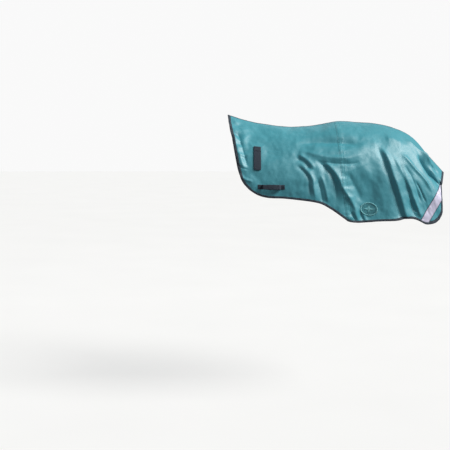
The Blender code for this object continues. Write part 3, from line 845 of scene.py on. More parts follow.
class Paint:
    """A material being built: nodes are added to it and joined."""

    def __init__(self, name: str, roughness: float) -> None:
        """Make the material with its shader."""
        self.material = bpy.data.materials.new(name)
        self.material.use_nodes = True
        self.tree = self.material.node_tree
        self.shader = self.tree.nodes["Principled BSDF"]
        self.set({"Roughness": roughness})

    def add(self, kind: str, inputs: dict[str | int, object] | None = None,
            **settings: object) -> bpy.types.Node:
        """Add a shader node, whose kind is given without its prefix."""
        return add_node(self.tree, "ShaderNode" + kind, inputs, **settings)

    def set(self, values: dict[str, object]) -> None:
        """Set the shader's own inputs to values, by name."""
        for name, value in values.items():
            self.shader.inputs[name].default_value = value

    def maths(self, operation: str, *values: object) -> bpy.types.NodeSocket:
        """Add a maths node and return its result."""
        return self.add("Math", dict(enumerate(values)), operation=operation).outputs[0]

    def flat(self) -> tuple[bpy.types.NodeSocket, bpy.types.NodeSocket]:
        """Return the two lengths of the piece's own flat map, in metres."""
        uv = self.add("UVMap", uv_map=UV_NAME)
        parts = self.add("SeparateXYZ", {0: uv.outputs[0]})
        return parts.outputs[0], parts.outputs[1]

    def noise(self, scale: float, detail: float = 2.0, rough: float = 0.5) -> bpy.types.NodeSocket:
        """Return a noise over the piece's own space.

        Args:
            scale: how fine it is.
            detail: how many finer layers it has.
            rough: how strong they are.

        Returns:
            The noise, from 0 to 1.
        """
        where = self.add("TexCoord").outputs["Object"]
        made = self.add("TexNoise", {"Vector": where, "Scale": scale, "Detail": detail,
                                     "Roughness": rough})
        return made.outputs["Fac"]

    def wave(self, length: bpy.types.NodeSocket, pitch: float) -> bpy.types.NodeSocket:
        """Return a wave from 0 to 1 along a length, with a pitch in metres."""
        turn = self.maths("MULTIPLY", length, 2 * math.pi / pitch)
        return self.maths("MULTIPLY_ADD", self.maths("SINE", turn), 0.5, 0.5)

    def mix(self, factor: object, low: Sequence[float], high: object) -> bpy.types.NodeSocket:
        """Return a mix of two colours.

        Args:
            factor: the share of the second.
            low: the first.
            high: the second.

        Returns:
            The mixed colour.
        """
        node = self.add("Mix", data_type="RGBA")
        for socket, value in zip((node.inputs[0], node.inputs[6], node.inputs[7]),
                                 (factor, low, high)):
            if isinstance(value, bpy.types.NodeSocket):
                self.tree.links.new(value, socket)
            else:
                socket.default_value = value if isinstance(value, float) else (*value, 1.0)
        return node.outputs[2]

    def spread(self, value: bpy.types.NodeSocket, low: float, high: float) -> bpy.types.NodeSocket:
        """Return a value from 0 to 1 stretched to a range."""
        return self.add("MapRange", {"Value": value, "To Min": low, "To Max": high}).outputs[0]

    def bump(self, layers: Sequence[tuple[bpy.types.NodeSocket, float, float]]) -> None:
        """Put bumps on the shader, one over another.

        Args:
            layers: each one's height, its strength and its depth in metres.
        """
        normal = None
        for height, strength, depth in layers:
            node = self.add("Bump", {"Height": height, "Strength": strength, "Distance": depth})
            if normal is not None:
                self.tree.links.new(normal, node.inputs["Normal"])
            normal = node.outputs[0]
        self.tree.links.new(normal, self.shader.inputs["Normal"])

    def colour(self, socket: bpy.types.NodeSocket) -> None:
        """Put a colour on the shader."""
        self.tree.links.new(socket, self.shader.inputs["Base Color"])

    def rough(self, socket: bpy.types.NodeSocket) -> None:
        """Put a roughness on the shader."""
        self.tree.links.new(socket, self.shader.inputs["Roughness"])

    def sheen(self, weight: float, tint: Sequence[float]) -> None:
        """Give the shader a soft sheen of the cloth's fibres."""
        self.set({"Sheen Weight": weight, "Sheen Roughness": 0.45, "Sheen Tint": (*tint, 1.0)})


@dataclass(frozen=True)
class Finish:
    """What every finish has: a name, a slot, a dark and a light colour, and a roughness."""

    name: str
    slot: str
    dark: Colour
    light: Colour
    roughness: float

    def make(self) -> bpy.types.Material:
        """Return the finish's material."""
        paint = Paint(self.name, self.roughness)
        self.draw(paint)
        return paint.material

    def draw(self, paint: Paint) -> None:
        """Put the finish's pattern in its material."""
        raise NotImplementedError

    def shade(self, paint: Paint, tone: bpy.types.NodeSocket, wear: bpy.types.NodeSocket,
              smoother: float, rougher: float) -> None:
        """Colour the material by its tone and roughen it by its wear.

        Args:
            paint: the material.
            tone: from 0 for the dark colour to 1 for the light one.
            wear: from 0 where it is smoothest to 1 where it is roughest.
            smoother: how far under the finish's roughness it goes.
            rougher: how far over it.
        """
        paint.colour(paint.mix(tone, self.dark, self.light))
        paint.rough(paint.spread(wear, self.roughness - smoother, self.roughness + rougher))


@dataclass(frozen=True)
class Weave(Finish):
    """A woven cloth, with the pitch of its threads, and how it shines and crumples."""

    pitch: float = 0.0011
    sheen: float = 0.06
    crumple: float = 0.0006
    gloss: float = 0.5

    def draw(self, paint: Paint) -> None:
        """Put crossed threads, a cloudy wear and fine crumples in the material."""
        u, v = paint.flat()
        weave = paint.maths("MULTIPLY", paint.wave(u, self.pitch), paint.wave(v, self.pitch))
        cloudy, grain = paint.noise(5.0, 4.0, 0.6), paint.noise(420.0, 2.0)
        fibre = paint.noise(90.0, 4.0, 0.65)
        tone = paint.maths("ADD", paint.maths("MULTIPLY", cloudy, 0.60),
                           paint.maths("MULTIPLY", fibre, 0.25))
        tone = paint.maths("MULTIPLY_ADD", weave, 0.16, paint.maths("MULTIPLY_ADD", grain, 0.14, tone))
        self.shade(paint, paint.spread(tone, -0.05, 1.0), fibre, 0.06, 0.08)
        paint.sheen(self.sheen, self.light)
        paint.set({"Specular IOR Level": self.gloss})
        paint.bump(((paint.noise(34.0, 3.0, 0.55), 0.55, self.crumple * 3),
                    (fibre, 0.40, self.crumple), (weave, 0.35, self.pitch / 4)))


@dataclass(frozen=True)
class Ribbed(Finish):
    """A ribbed tape or webbing: ribs across its length, with a finer thread along it."""

    rib: float = 0.0013
    sheen: float = 0.25

    def draw(self, paint: Paint) -> None:
        """Put the ribs, the thread and some wear in the material."""
        u, v = paint.flat()
        rib, thread = paint.wave(u, self.rib), paint.wave(v, self.rib * 0.8)
        worn, grain = paint.noise(12.0, 4.0, 0.6), paint.noise(300.0, 2.0)
        tone = paint.maths("MULTIPLY_ADD", rib, 0.30, paint.maths("MULTIPLY", worn, 0.45))
        self.shade(paint, paint.maths("MULTIPLY_ADD", grain, 0.25, tone), worn, 0.08, 0.10)
        paint.sheen(self.sheen, self.light)
        paint.bump(((grain, 0.30, 0.0003), (rib, 0.60, self.rib / 3), (thread, 0.25, self.rib / 5)))


@dataclass(frozen=True)
class Beaded(Finish):
    """A retroreflective fabric: silvery glass beads in a fine cell pattern, a little scuffed."""

    cell: float = 0.0014

    def draw(self, paint: Paint) -> None:
        """Put the cells, the scuffs and a clear coat in the material."""
        paint.set({"Metallic": 0.25, "Coat Weight": 0.25, "Coat Roughness": 0.30})
        u, v = paint.flat()
        cells = paint.maths("MULTIPLY", paint.wave(u, self.cell), paint.wave(v, self.cell))
        scuff, dust = paint.noise(16.0, 5.0, 0.65), paint.noise(500.0, 2.0)
        tone = paint.maths("MULTIPLY_ADD", cells, 0.22, paint.maths("MULTIPLY", scuff, 0.75))
        self.shade(paint, paint.maths("MULTIPLY_ADD", dust, 0.15, tone), scuff, 0.08, 0.15)
        paint.bump(((scuff, 0.25, 0.0008), (cells, 0.40, self.cell / 6)))


@dataclass(frozen=True)
class Thread(Finish):
    """Sewing or embroidery thread: twisted strands with a silky shine."""

    def draw(self, paint: Paint) -> None:
        """Put the strands and an uneven dye in the material."""
        strand, uneven = paint.noise(900.0, 1.0), paint.noise(30.0, 3.0)
        tone = paint.maths("MULTIPLY_ADD", strand, 0.5, paint.maths("MULTIPLY", uneven, 0.5))
        self.shade(paint, tone, uneven, 0.08, 0.08)
        paint.sheen(0.25, self.light)
        paint.bump(((strand, 0.35, 0.0002),))


@dataclass(frozen=True)
class Satin(Finish):
    """Satin stitch: close silky threads side by side along the piece's first length."""

    pitch: float = 0.0011

    def draw(self, paint: Paint) -> None:
        """Put the threads, which sway a little, and their ends in the material."""
        u, v = paint.flat()
        sway = paint.maths("MULTIPLY_ADD", paint.noise(260.0, 2.0), self.pitch * 0.7, u)
        lines, ends = paint.wave(sway, self.pitch), paint.wave(v, self.pitch * 5)
        uneven = paint.noise(40.0, 3.0)
        tone = paint.maths("MULTIPLY_ADD", lines, 0.45, paint.maths("MULTIPLY", uneven, 0.40))
        self.shade(paint, paint.maths("MULTIPLY_ADD", ends, 0.15, tone), uneven, 0.06, 0.08)
        paint.sheen(0.30, self.light)
        paint.bump(((lines, 0.70, self.pitch / 2), (ends, 0.25, self.pitch / 3)))


SHELL = Weave("shell_weave", "shell_fabric", (0.018, 0.216, 0.272), (0.062, 0.342, 0.412), 0.50,
              gloss=1.0)
SEAM_TAPE = Weave("seam_tape_weave", "seam_tape", (0.020, 0.224, 0.280), (0.066, 0.352, 0.422),
                  0.48, gloss=1.0)
LINING = Weave("lining_weave", "lining_fabric", (0.008, 0.014, 0.026), (0.030, 0.048, 0.080), 0.82,
               pitch=0.0009, sheen=0.25)
BINDING = Ribbed("binding_rib", "binding", (0.008, 0.014, 0.024), (0.045, 0.070, 0.095), 0.72,
                 sheen=0.30)
WEBBING = Ribbed("webbing_rib", "webbing", (0.007, 0.012, 0.022), (0.034, 0.052, 0.078), 0.74,
                 rib=0.0019)
STRIP = Beaded("strip_beads", "reflective", (0.520, 0.500, 0.660), (0.780, 0.760, 0.930), 0.38)
BADGE_FIELD = Satin("badge_fill", "embroidery", (0.030, 0.170, 0.205), (0.075, 0.290, 0.335), 0.48)
BADGE_RIM = Satin("badge_rim_satin", "embroidery", (0.100, 0.380, 0.420), (0.210, 0.540, 0.580),
                  0.40, pitch=0.0010)
HOOKS = Thread("hook_fibre", "hook_and_pile", (0.008, 0.010, 0.016), (0.034, 0.040, 0.054), 0.62)
NAVY_THREAD = Thread("navy_thread", "binding", (0.020, 0.032, 0.050), (0.080, 0.110, 0.140), 0.50)
TEAL_THREAD = Thread("teal_thread", "seam_tape", (0.110, 0.400, 0.450), (0.220, 0.560, 0.610), 0.45)
GREY_THREAD = Thread("grey_thread", "reflective", (0.240, 0.240, 0.300), (0.480, 0.480, 0.560), 0.48)
BADGE_THREAD = Thread("badge_thread", "embroidery", (0.120, 0.410, 0.450), (0.240, 0.580, 0.620), 0.40)
BADGE_LINE = Thread("badge_line_thread", "embroidery", (0.008, 0.060, 0.082), (0.030, 0.130, 0.160), 0.45)


# ==== stitches
@dataclass(frozen=True)
class Stitch:
    """One kind of stitch: the distance from one to the next, its length and its half thickness."""

    pitch: float
    length: float
    radius: float
    lay: Lay = Lay.ALONG


LOCKSTITCH = Stitch(0.0042, 0.0034, 0.00042)
FINE_STITCH = Stitch(0.0036, 0.0029, 0.00036)
OUTLINE_STITCH = Stitch(0.0024, 0.0032, 0.00075)
RIM_STITCH = Stitch(0.0012, 0.0058, 0.00062, Lay.ACROSS)
BRISTLE = Stitch(0.0024, 0.0013, 0.00030, Lay.UPRIGHT)


def guide_mesh(name: str, drape: Drape, rows: Rows, lay: Lay) -> bpy.types.Mesh:
    """Return rows of stitches as lines of edges that know their way up and their lay.

    Args:
        name: the mesh's name.
        drape: the cloth.
        rows: each row's flat places and its height over the cloth.
        lay: how the stitches lie on the rows.

    Returns:
        The mesh.
    """
    points, edges, ups, lays, start = [], [], [], [], 0
    for flat, height in rows:
        line, normals = drape.lift(flat, height), drape.normals(flat)
        tangents = unit(np.gradient(line, axis=0))
        ways = {Lay.ALONG: tangents, Lay.ACROSS: np.cross(normals, tangents), Lay.UPRIGHT: normals}
        points.append(line)
        ups.append(tangents if lay is Lay.UPRIGHT else normals)
        lays.append(ways[lay])
        edges += [(start + k, start + k + 1) for k in range(len(line) - 1)]
        start += len(line)
    mesh = bpy.data.meshes.new(name)
    mesh.from_pydata(np.concatenate(points).tolist(), edges, [])
    for word, values in (("up", ups), ("lay", lays)):
        attribute = mesh.attributes.new(word, "FLOAT_VECTOR", "POINT")
        attribute.data.foreach_set("vector", np.concatenate(values).astype(np.float32).ravel())
    return mesh


class StitchTree:
    """The node tree that sews stitches along lines."""

    inputs = ("Pitch", "Stitch Length", "Stitch Radius")
    seed = 7
    size_range = (0.88, 1.08)
    segments = 6
    rings = 5

    def __init__(self) -> None:
        """Build the tree."""
        self.tree = bpy.data.node_groups.new("sew_stitches", "GeometryNodeTree")
        face = self.tree.interface
        face.new_socket("Geometry", in_out="INPUT", socket_type="NodeSocketGeometry")
        kinds = [(name, "NodeSocketFloat") for name in self.inputs]
        kinds += [("Material", "NodeSocketMaterial"), ("Seed", "NodeSocketInt")]
        self.keys = {name: face.new_socket(name, in_out="INPUT", socket_type=kind).identifier
                     for name, kind in kinds}
        face.new_socket("Geometry", in_out="OUTPUT", socket_type="NodeSocketGeometry")
        source = add_node(self.tree, "NodeGroupInput").outputs
        curve = self.add("GeometryNodeMeshToCurve", {0: source["Geometry"]})
        even = self.add("GeometryNodeResampleCurve", {0: curve, "Length": source["Pitch"]},
                        mode="LENGTH")
        low, high = self.size_range
        size = self.add("FunctionNodeRandomValue", {2: low, 3: high, "Seed": source["Seed"]}, 1,
                        data_type="FLOAT")
        placed = self.add("GeometryNodeInstanceOnPoints", {
            "Points": even, "Instance": self.one_stitch(source), "Rotation": self.turn(),
            "Scale": size})
        whole = self.add("GeometryNodeRealizeInstances", {0: placed})
        dressed = self.add("GeometryNodeSetMaterial", {0: whole, "Material": source["Material"]})
        add_node(self.tree, "NodeGroupOutput", {0: dressed})

    def add(self, kind: str, inputs: dict[str | int, object], output: int = 0,
            **settings: object) -> bpy.types.NodeSocket:
        """Add a node and return one of its outputs.

        Args:
            kind: the node's type.
            inputs: values or sockets for its inputs, by name or number.
            output: the number of the output.
            **settings: the node's own properties.

        Returns:
            The output.
        """
        return add_node(self.tree, kind, inputs, **settings).outputs[output]

    def one_stitch(self, source: bpy.types.NodeOutputs) -> bpy.types.NodeSocket:
        """Return one stitch: a drop of thread, thin at both ends."""
        ball = self.add("GeometryNodeMeshUVSphere",
                        {"Segments": self.segments, "Rings": self.rings, "Radius": 1.0})
        half = self.add("ShaderNodeMath", {0: source["Stitch Length"], 1: 0.5}, operation="MULTIPLY")
        size = self.add("ShaderNodeCombineXYZ",
                        {0: half, 1: source["Stitch Radius"], 2: source["Stitch Radius"]})
        shaped = self.add("GeometryNodeTransform", {0: ball, "Scale": size})
        return self.add("GeometryNodeSetShadeSmooth", {0: shaped})

    def turn(self) -> bpy.types.NodeSocket:
        """Return the turn that puts a stitch along its lay, with its back up."""
        turn: dict[str, bpy.types.NodeSocket] = {}
        for word, axis, pivot in (("lay", "X", "AUTO"), ("up", "Z", "X")):
            way = self.add("GeometryNodeInputNamedAttribute", {"Name": word},
                           data_type="FLOAT_VECTOR")
            turn["Rotation"] = self.add("FunctionNodeAlignRotationToVector", {"Vector": way, **turn},
                                        axis=axis, pivot_axis=pivot)
        return turn["Rotation"]

    def sew(self, name: str, guide_lines: bpy.types.Mesh, stitch: Stitch,
            material: bpy.types.Material) -> bpy.types.Object:
        """Sew stitches along lines.

        Args:
            name: the piece's name.
            guide_lines: the lines to follow.
            stitch: the kind of stitch.
            material: the thread.

        Returns:
            The stitches, as one plain mesh object.
        """
        guide = put_in_scene(guide_lines.name, guide_lines)
        sewing = guide.modifiers.new("sewing", "NODES")
        sewing.node_group = self.tree
        for word, value in zip(self.inputs, (stitch.pitch, stitch.length, stitch.radius)):
            sewing[self.keys[word]] = value
        sewing[self.keys["Material"]] = material
        sewing[self.keys["Seed"]] = self.seed
        depsgraph = bpy.context.evaluated_depsgraph_get()
        mesh = bpy.data.meshes.new_from_object(guide.evaluated_get(depsgraph))
        mesh.name = name
        guide.modifiers.clear()
        bpy.data.objects.remove(guide, do_unlink=True)
        for word in ("up", "lay"):
            if word in mesh.attributes:
                mesh.attributes.remove(mesh.attributes[word])
        return put_in_scene(name, mesh)


# ==== the workshop
@dataclass
class Workshop:
    """What every sub-assembly needs: the cloth's shape, the materials and the stitches."""

    drape: Drape
    stitches: StitchTree
    materials: dict[str, bpy.types.Material] = field(default_factory=dict)
    trims: dict[str, list[bpy.types.Object]] = field(default_factory=dict)

    def material(self, finish: Finish) -> bpy.types.Material:
        """Return a finish's material, which is made once."""
        if finish.name not in self.materials:
            self.materials[finish.name] = finish.make()
        return self.materials[finish.name]

    def fit(self, piece: bpy.types.Object, finish: Finish, node: str | None = None,
            group: str | None = None, body: str = RUG) -> None:
        """Dress a piece, and remember it as trim of the sheet of cloth that it is sewn to.

        Args:
            piece: the piece.
            finish: its finish.
            node: the CAD node that it stands for, if it does.
            group: the sheet of cloth that it goes with, if it does.
            body: the body that it rides on.
        """
        piece.data.materials.clear()
        piece.data.materials.append(self.material(finish))
        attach(piece, body)
        if node:
            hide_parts(node)
        if group:
            self.trims.setdefault(group, []).append(piece)
        LOG.info("%s: %d faces on %s", piece.name, len(piece.data.polygons), body)

    def sew(self, name: str, rows: Rows, stitch: Stitch, thread: Thread,
            group: str | None = None, body: str = RUG) -> None:
        """Sew rows of stitches over the cloth and dress them.

        Args:
            name: the piece's name.
            rows: each row's flat places and its height over the cloth.
            stitch: the kind of stitch.
            thread: its finish.
            group: the sheet of cloth that it goes with, if it does.
            body: the body that it rides on.
        """
        lines = guide_mesh(name + "_guide", self.drape, rows, stitch.lay)
        piece = self.stitches.sew(name, lines, stitch, self.material(thread))
        self.fit(piece, thread, group=group, body=body)


def sewing_paths(centre: Array, side: Side, *routes: Sequence[tuple[float, float]]) -> list[Array]:
    """Return flat paths for stitches.

    Args:
        centre: the flat place, on the right side, that the routes' corners are measured from.
        side: the side of the rug.
        *routes: the corners that each path goes through.

    Returns:
        One flat path for each route.
    """
    return [(centre + even_path(np.array(route), 0.001)) * side.flip for route in routes]


@dataclass(frozen=True)
class Layers:
    """Heights of the rug's layers over the cloth's middle surface."""

    shell_low: float = 0.0002
    shell_top: float = 0.0018
    trim_low: float = 0.0019
    lining_top: float = -0.0002
    lining_low: float = -0.0016


LAYERS = Layers()


@dataclass
class Panels:
    """The outer panels and the linings."""

    shop: Workshop
    columns: int = 150
    rows: int = 156
    lining_columns: int = 210
    lining_rows: int = 120
    spine_gap: float = 0.001
    seam: float = 0.0004
    saddle_size: tuple[float, float] = (0.660, 0.700)
    saddle_area: float = 0.320
    quarter_size: tuple[float, float] = (0.740, 0.700)
    quarter_area: float = 0.368
    lining_size: tuple[float, float] = (1.390, 0.700)
    lining_area: float = 0.688

    def build(self) -> None:
        """Make the cloth of both sides."""
        middle = self.shop.drape.seam_share
        for side in Side:
            word = side.word
            for part, span in (("saddle", (0.0, middle - self.seam)),
                               ("quarter", (middle + self.seam, 1.0))):
                self.cloth(f"{part}_cloth_{word}", side, span, SHELL,
                           (LAYERS.shell_top, LAYERS.shell_low), f"{part}_panel_{word}")
            self.cloth(f"lining_cloth_{word}", side, (0.0, 1.0), LINING,
                       (LAYERS.lining_top, LAYERS.lining_low), "lining_" + word)

    def cloth(self, name: str, side: Side, span: tuple[float, float], finish: Weave,
              heights: tuple[float, float], node: str) -> None:
        """Make one piece of cloth.

        Args:
            name: its name.
            side: its side of the rug.
            span: where it starts and ends between the front and the rear edge, as shares.
            finish: its finish.
            heights: the heights of its outer and inner face.
            node: the CAD node that it stands for.
        """
        drape = self.shop.drape
        fine = finish is SHELL
        u = np.linspace(*span, (self.columns if fine else self.lining_columns) + 1)
        v = np.linspace(self.spine_gap, 1.0, (self.rows if fine else self.lining_rows) + 1)
        flat = drape.net(u[:, None], v[None, :], side)
        skin, out = drape.skin(flat), drape.normals(flat)
        piece = slab(name, skin + out * heights[0], skin + out * heights[1], flat)
        self.shop.fit(piece, finish, node)


@dataclass
class Bindings:
    """The folded tapes round the rug's edges, with their stitches on both faces."""

    shop: Workshop
    width: float = 0.0095
    front_width: float = 0.0125
    thickness: float = 0.0010
    step: float = 0.0035
    stitch_inset: float = 0.0026
    stitch_rise: float = 0.92
    nose: float = 0.0026

    def build(self) -> None:
        """Make the front, rear and hem bindings."""
        drape = self.shop.drape
        for name, edge, width in (("front", drape.front, self.front_width),
                                  ("rear", drape.rear, self.width)):
            left = edge[::-1] * Side.LEFT.flip
            path = even_path(np.vstack([left[:-1], edge]), self.step)
            self.fold(name + "_fold", path, width, name + "_binding")
        for side in Side:
            path = even_path(drape.hem * side.flip, self.step)
            self.fold("hem_fold_" + side.word, path, self.width, "hem_binding_" + side.word)

    def profile(self, width: float) -> tuple[Array, Array]:
        """Return the binding's section: distances in from the edge, and heights.

        Each leg dips at its row of stitches and is padded between the row and the edge.

        Args:
            width: the width of the leg on each face.

        Returns:
            The distances and the heights.
        """
        thick = self.thickness
        stitch = width - self.stitch_inset
        top, low = LAYERS.shell_top, LAYERS.lining_low
        leg = [(width, 0.2), (width * 0.985, 0.75), (stitch + 0.0012, 1.05), (stitch, 0.75),
               (stitch - 0.0013, 1.15), (stitch * 0.62, 1.62), (stitch * 0.30, 1.62), (0.0006, 1.35)]
        outer = [(d, top + thick * h) for d, h in leg]
        inner = [(d, low - thick * h) for d, h in leg[::-1]]
        middle, half = (top + low) / 2, (top - low) / 2 + thick * 1.2
        angles = np.radians([62.0, 30.0, 0.0, -30.0, -62.0])
        bend = [(-self.nose * math.cos(a), middle + half * math.sin(a)) for a in angles]
        inside = [(width * 0.98, low - 0.0001), (0.0, low - 0.0001), (-0.0008, middle),
                  (0.0, top + 0.0001), (width * 0.98, top + 0.0001)]
        section = np.array(outer + bend + inner + inside)
        return section[:, 0], section[:, 1]

    def inward(self, path: Array) -> Array:
        """Return the flat direction into the rug along an edge, shared where edges meet."""
        away = left_of(path)
        if (away * (np.array([0.25, 0.0]) - path)).sum() < 0:
            away = -away
        return away

    def fold(self, name: str, path: Array, width: float, node: str) -> None:
        """Make one folded binding and its two rows of stitches.

        Args:
            name: the piece's name.
            path: the edge's flat places.
            width: the width of its leg on each face.
            node: the CAD node that it stands for.
        """
        drape = self.shop.drape
        away = self.inward(path)
        depth, height = self.profile(width)
        flat = path[:, None, :] + away[:, None, :] * np.maximum(depth, 0.0)[None, :, None]
        rings = drape.lift(flat, np.broadcast_to(height, flat.shape[:2]))
        out = unit(drape.skin(path) - drape.skin(path + away * 0.004))
        rings = rings + out[:, None, :] * np.maximum(-depth, 0.0)[None, :, None]
        around = np.concatenate([[0.0], np.cumsum(np.hypot(np.diff(depth), np.diff(height)))])
        uvs = np.stack(np.broadcast_arrays(run_lengths(path)[:, None], around[None, :]), -1)
        self.shop.fit(tube(name, rings, uvs), BINDING, node)
        row = path + away * (width - self.stitch_inset)
        lift = self.thickness * self.stitch_rise
        rows = [(row, LAYERS.shell_top + lift), (row, LAYERS.lining_low - lift)]
        self.shop.sew(f"{name}_stitches", rows, LOCKSTITCH, NAVY_THREAD)


@dataclass
class Band:
    """A strip of tape or webbing laid along a flat path.

    low is the height of its underside over the cloth, grooves are where rows of stitches press it
    in, pillow is how much higher its middle is than its edges, and tuck is how far from each end it
    thins. rise lifts it by its run, narrow is its share of the width by the share of its run, and
    clear says which flat places it may cover.
    """

    path: Array
    width: float
    low: float
    thickness: float
    step: float = 0.003
    cells: int = 16
    grooves: tuple[float, ...] = ()
    groove_depth: float = 0.00045
    groove_width: float = 0.0011
    pillow: float = 0.0
    crowding: float = 0.35
    edge_height: float = 0.30
    edge_round: float = 0.09
    tuck_height: float = 0.25
    cut_cells: int = 400
    tuck: tuple[float, float] = (0.0, 0.0)
    rise: Callable[[Array], Array] | None = None
    narrow: Callable[[Array], Array] | None = None
    clear: Callable[[Array], Array] | None = None

    def lines(self) -> tuple[Array, Array, Array]:
        """Return the path, its flat sideways direction and its run."""
        path = even_path(self.path, self.step)
        return path, left_of(path), run_lengths(path)

    def build(self, drape: Drape, name: str) -> bpy.types.Object:
        """Make the band.

        Args:
            drape: the cloth under it.
            name: the piece's name.

        Returns:
            The new object.
        """
        path, aside, run = self.lines()
        even = np.linspace(-1, 1, self.cells + 1)
        across = np.sin(even * math.pi / 2) * self.crowding + even * (1 - self.crowding)
        half = np.full(len(path), self.width / 2)
        if self.narrow is not None:
            half = half * self.narrow(run / run[-1])
        offset = half[:, None] * across[None, :]
        flat = path[:, None, :] + aside[:, None, :] * offset[..., None]
        if self.clear is not None:
            flat = np.stack([self.cut(flat[:, k], len(path)) for k in range(flat.shape[1])], 1)
        swell = np.clip((1 - np.abs(across)) / self.edge_round, 0, 1) ** 0.5
        body = self.thickness * (self.edge_height + (1 - self.edge_height) * swell)
        top = np.broadcast_to(body, offset.shape).copy()
        top += self.pillow * (1 - across[None, :] ** 2)
        for groove in self.grooves:
            top -= self.groove_depth * np.exp(-((offset - groove) / self.groove_width) ** 2)
        lift = np.zeros(len(path)) if self.rise is None else self.rise(run)
        for end, length in zip((run, run[-1] - run), self.tuck):
            if length:
                thin = self.tuck_height
                top *= (thin + (1 - thin) * smooth_step(end / length))[:, None]
        base = (self.low + lift)[:, None]
        upper = drape.lift(flat, base + top)
        lower = drape.lift(flat, np.broadcast_to(base, top.shape))
        rings = np.concatenate([upper, lower[:, ::-1]], axis=1)
        both = np.concatenate([offset, offset[:, ::-1]], axis=1)
        uvs = np.stack(np.broadcast_arrays(run[:, None], both), -1)
        return tube(name, rings, uvs)

    def row(self, offset: float, margins: tuple[float, float] = (0.002, 0.002)) -> Array:
        """Return the flat path of a row of stitches.

        Args:
            offset: the row's distance to the side of the band's middle.
            margins: how far from the band's two ends it stops.

        Returns:
            The row's flat places.
        """
        path, aside, _ = self.lines()
        path = path + aside * offset
        if self.clear is not None:
            path = self.cut(path, len(path))
        run = run_lengths(path)
        keep = (run >= margins[0]) & (run <= run[-1] - margins[1])
        return path[keep]

    def cut(self, line: Array, count: int) -> Array:
        """Return a line's part that is clear of the bindings, with count places on it.

        Args:
            line: the flat line.
            count: how many places to return.

        Returns:
            The places.
        """
        fine = read_path(line, np.linspace(0, 1, self.cut_cells + 1))
        middle = self.cut_cells // 2
        blocked = np.flatnonzero(~self.clear(fine))
        before, after = blocked[blocked < middle], blocked[blocked > middle]
        start = before[-1] + 1 if len(before) else 0
        end = after[0] if len(after) else len(fine)
        return read_path(fine[start:end], np.linspace(0, 1, count))


@dataclass
class Tapes:
    """The tape along the spine and the stitched strips over the seams."""

    shop: Workshop
    spine_width: float = 0.018
    seam_width: float = 0.034
    thickness: float = 0.0008
    end: float = 0.008
    seam_end: float = 0.010
    seam_start: float = 0.012
    samples: int = 200
    spine_rows: tuple[float, ...] = (-0.0066, 0.0066)
    seam_rows: tuple[float, ...] = (-0.0138, -0.0112, -0.0013, 0.0013, 0.0112, 0.0138)

    def build(self) -> None:
        """Make the tapes and their stitches."""
        drape = self.shop.drape
        ends = np.array([[drape.along(0) + self.end, 0.0], [drape.along(1) - self.end * 0.7, 0.0]])
        spine = Band(ends, self.spine_width, LAYERS.trim_low, self.thickness,
                     grooves=self.spine_rows, pillow=0.0006, tuck=(0.010, 0.010))
        self.shop.fit(spine.build(drape, "spine_cover"), BINDING, "spine_tape")
        top = LAYERS.trim_low + self.thickness
        rows = [(spine.row(offset, (0.006, 0.006)), top) for offset in spine.grooves]
        self.shop.sew("spine_cover_stitches", rows, LOCKSTITCH, NAVY_THREAD)
        for side in Side:
            self.seam(side)

    def seam(self, side: Side) -> None:
        """Make one side's seam strip with its rows of stitches."""
        drape, word = self.shop.drape, side.word
        path = drape.net(np.full(self.samples, drape.seam_share),
                         np.linspace(self.seam_start, 1.0, self.samples), side)
        share = 1 - self.seam_end / run_lengths(path)[-1]
        path = read_path(path, np.linspace(0.0, share, self.samples))
        band = Band(path, self.seam_width, LAYERS.trim_low, self.thickness, cells=34,
                    grooves=self.seam_rows, pillow=0.0005, tuck=(0.0, 0.010))
        self.shop.fit(band.build(drape, "seam_strip_" + word), SEAM_TAPE, "seam_tape_" + word,
                      "quarter_" + word)
        top = LAYERS.trim_low + self.thickness + 0.0001
        rows = [(band.row(offset, (0.004, 0.005)), top) for offset in band.grooves]
        self.shop.sew("seam_strip_stitches_" + word, rows, LOCKSTITCH, TEAL_THREAD,
                      "quarter_" + word)


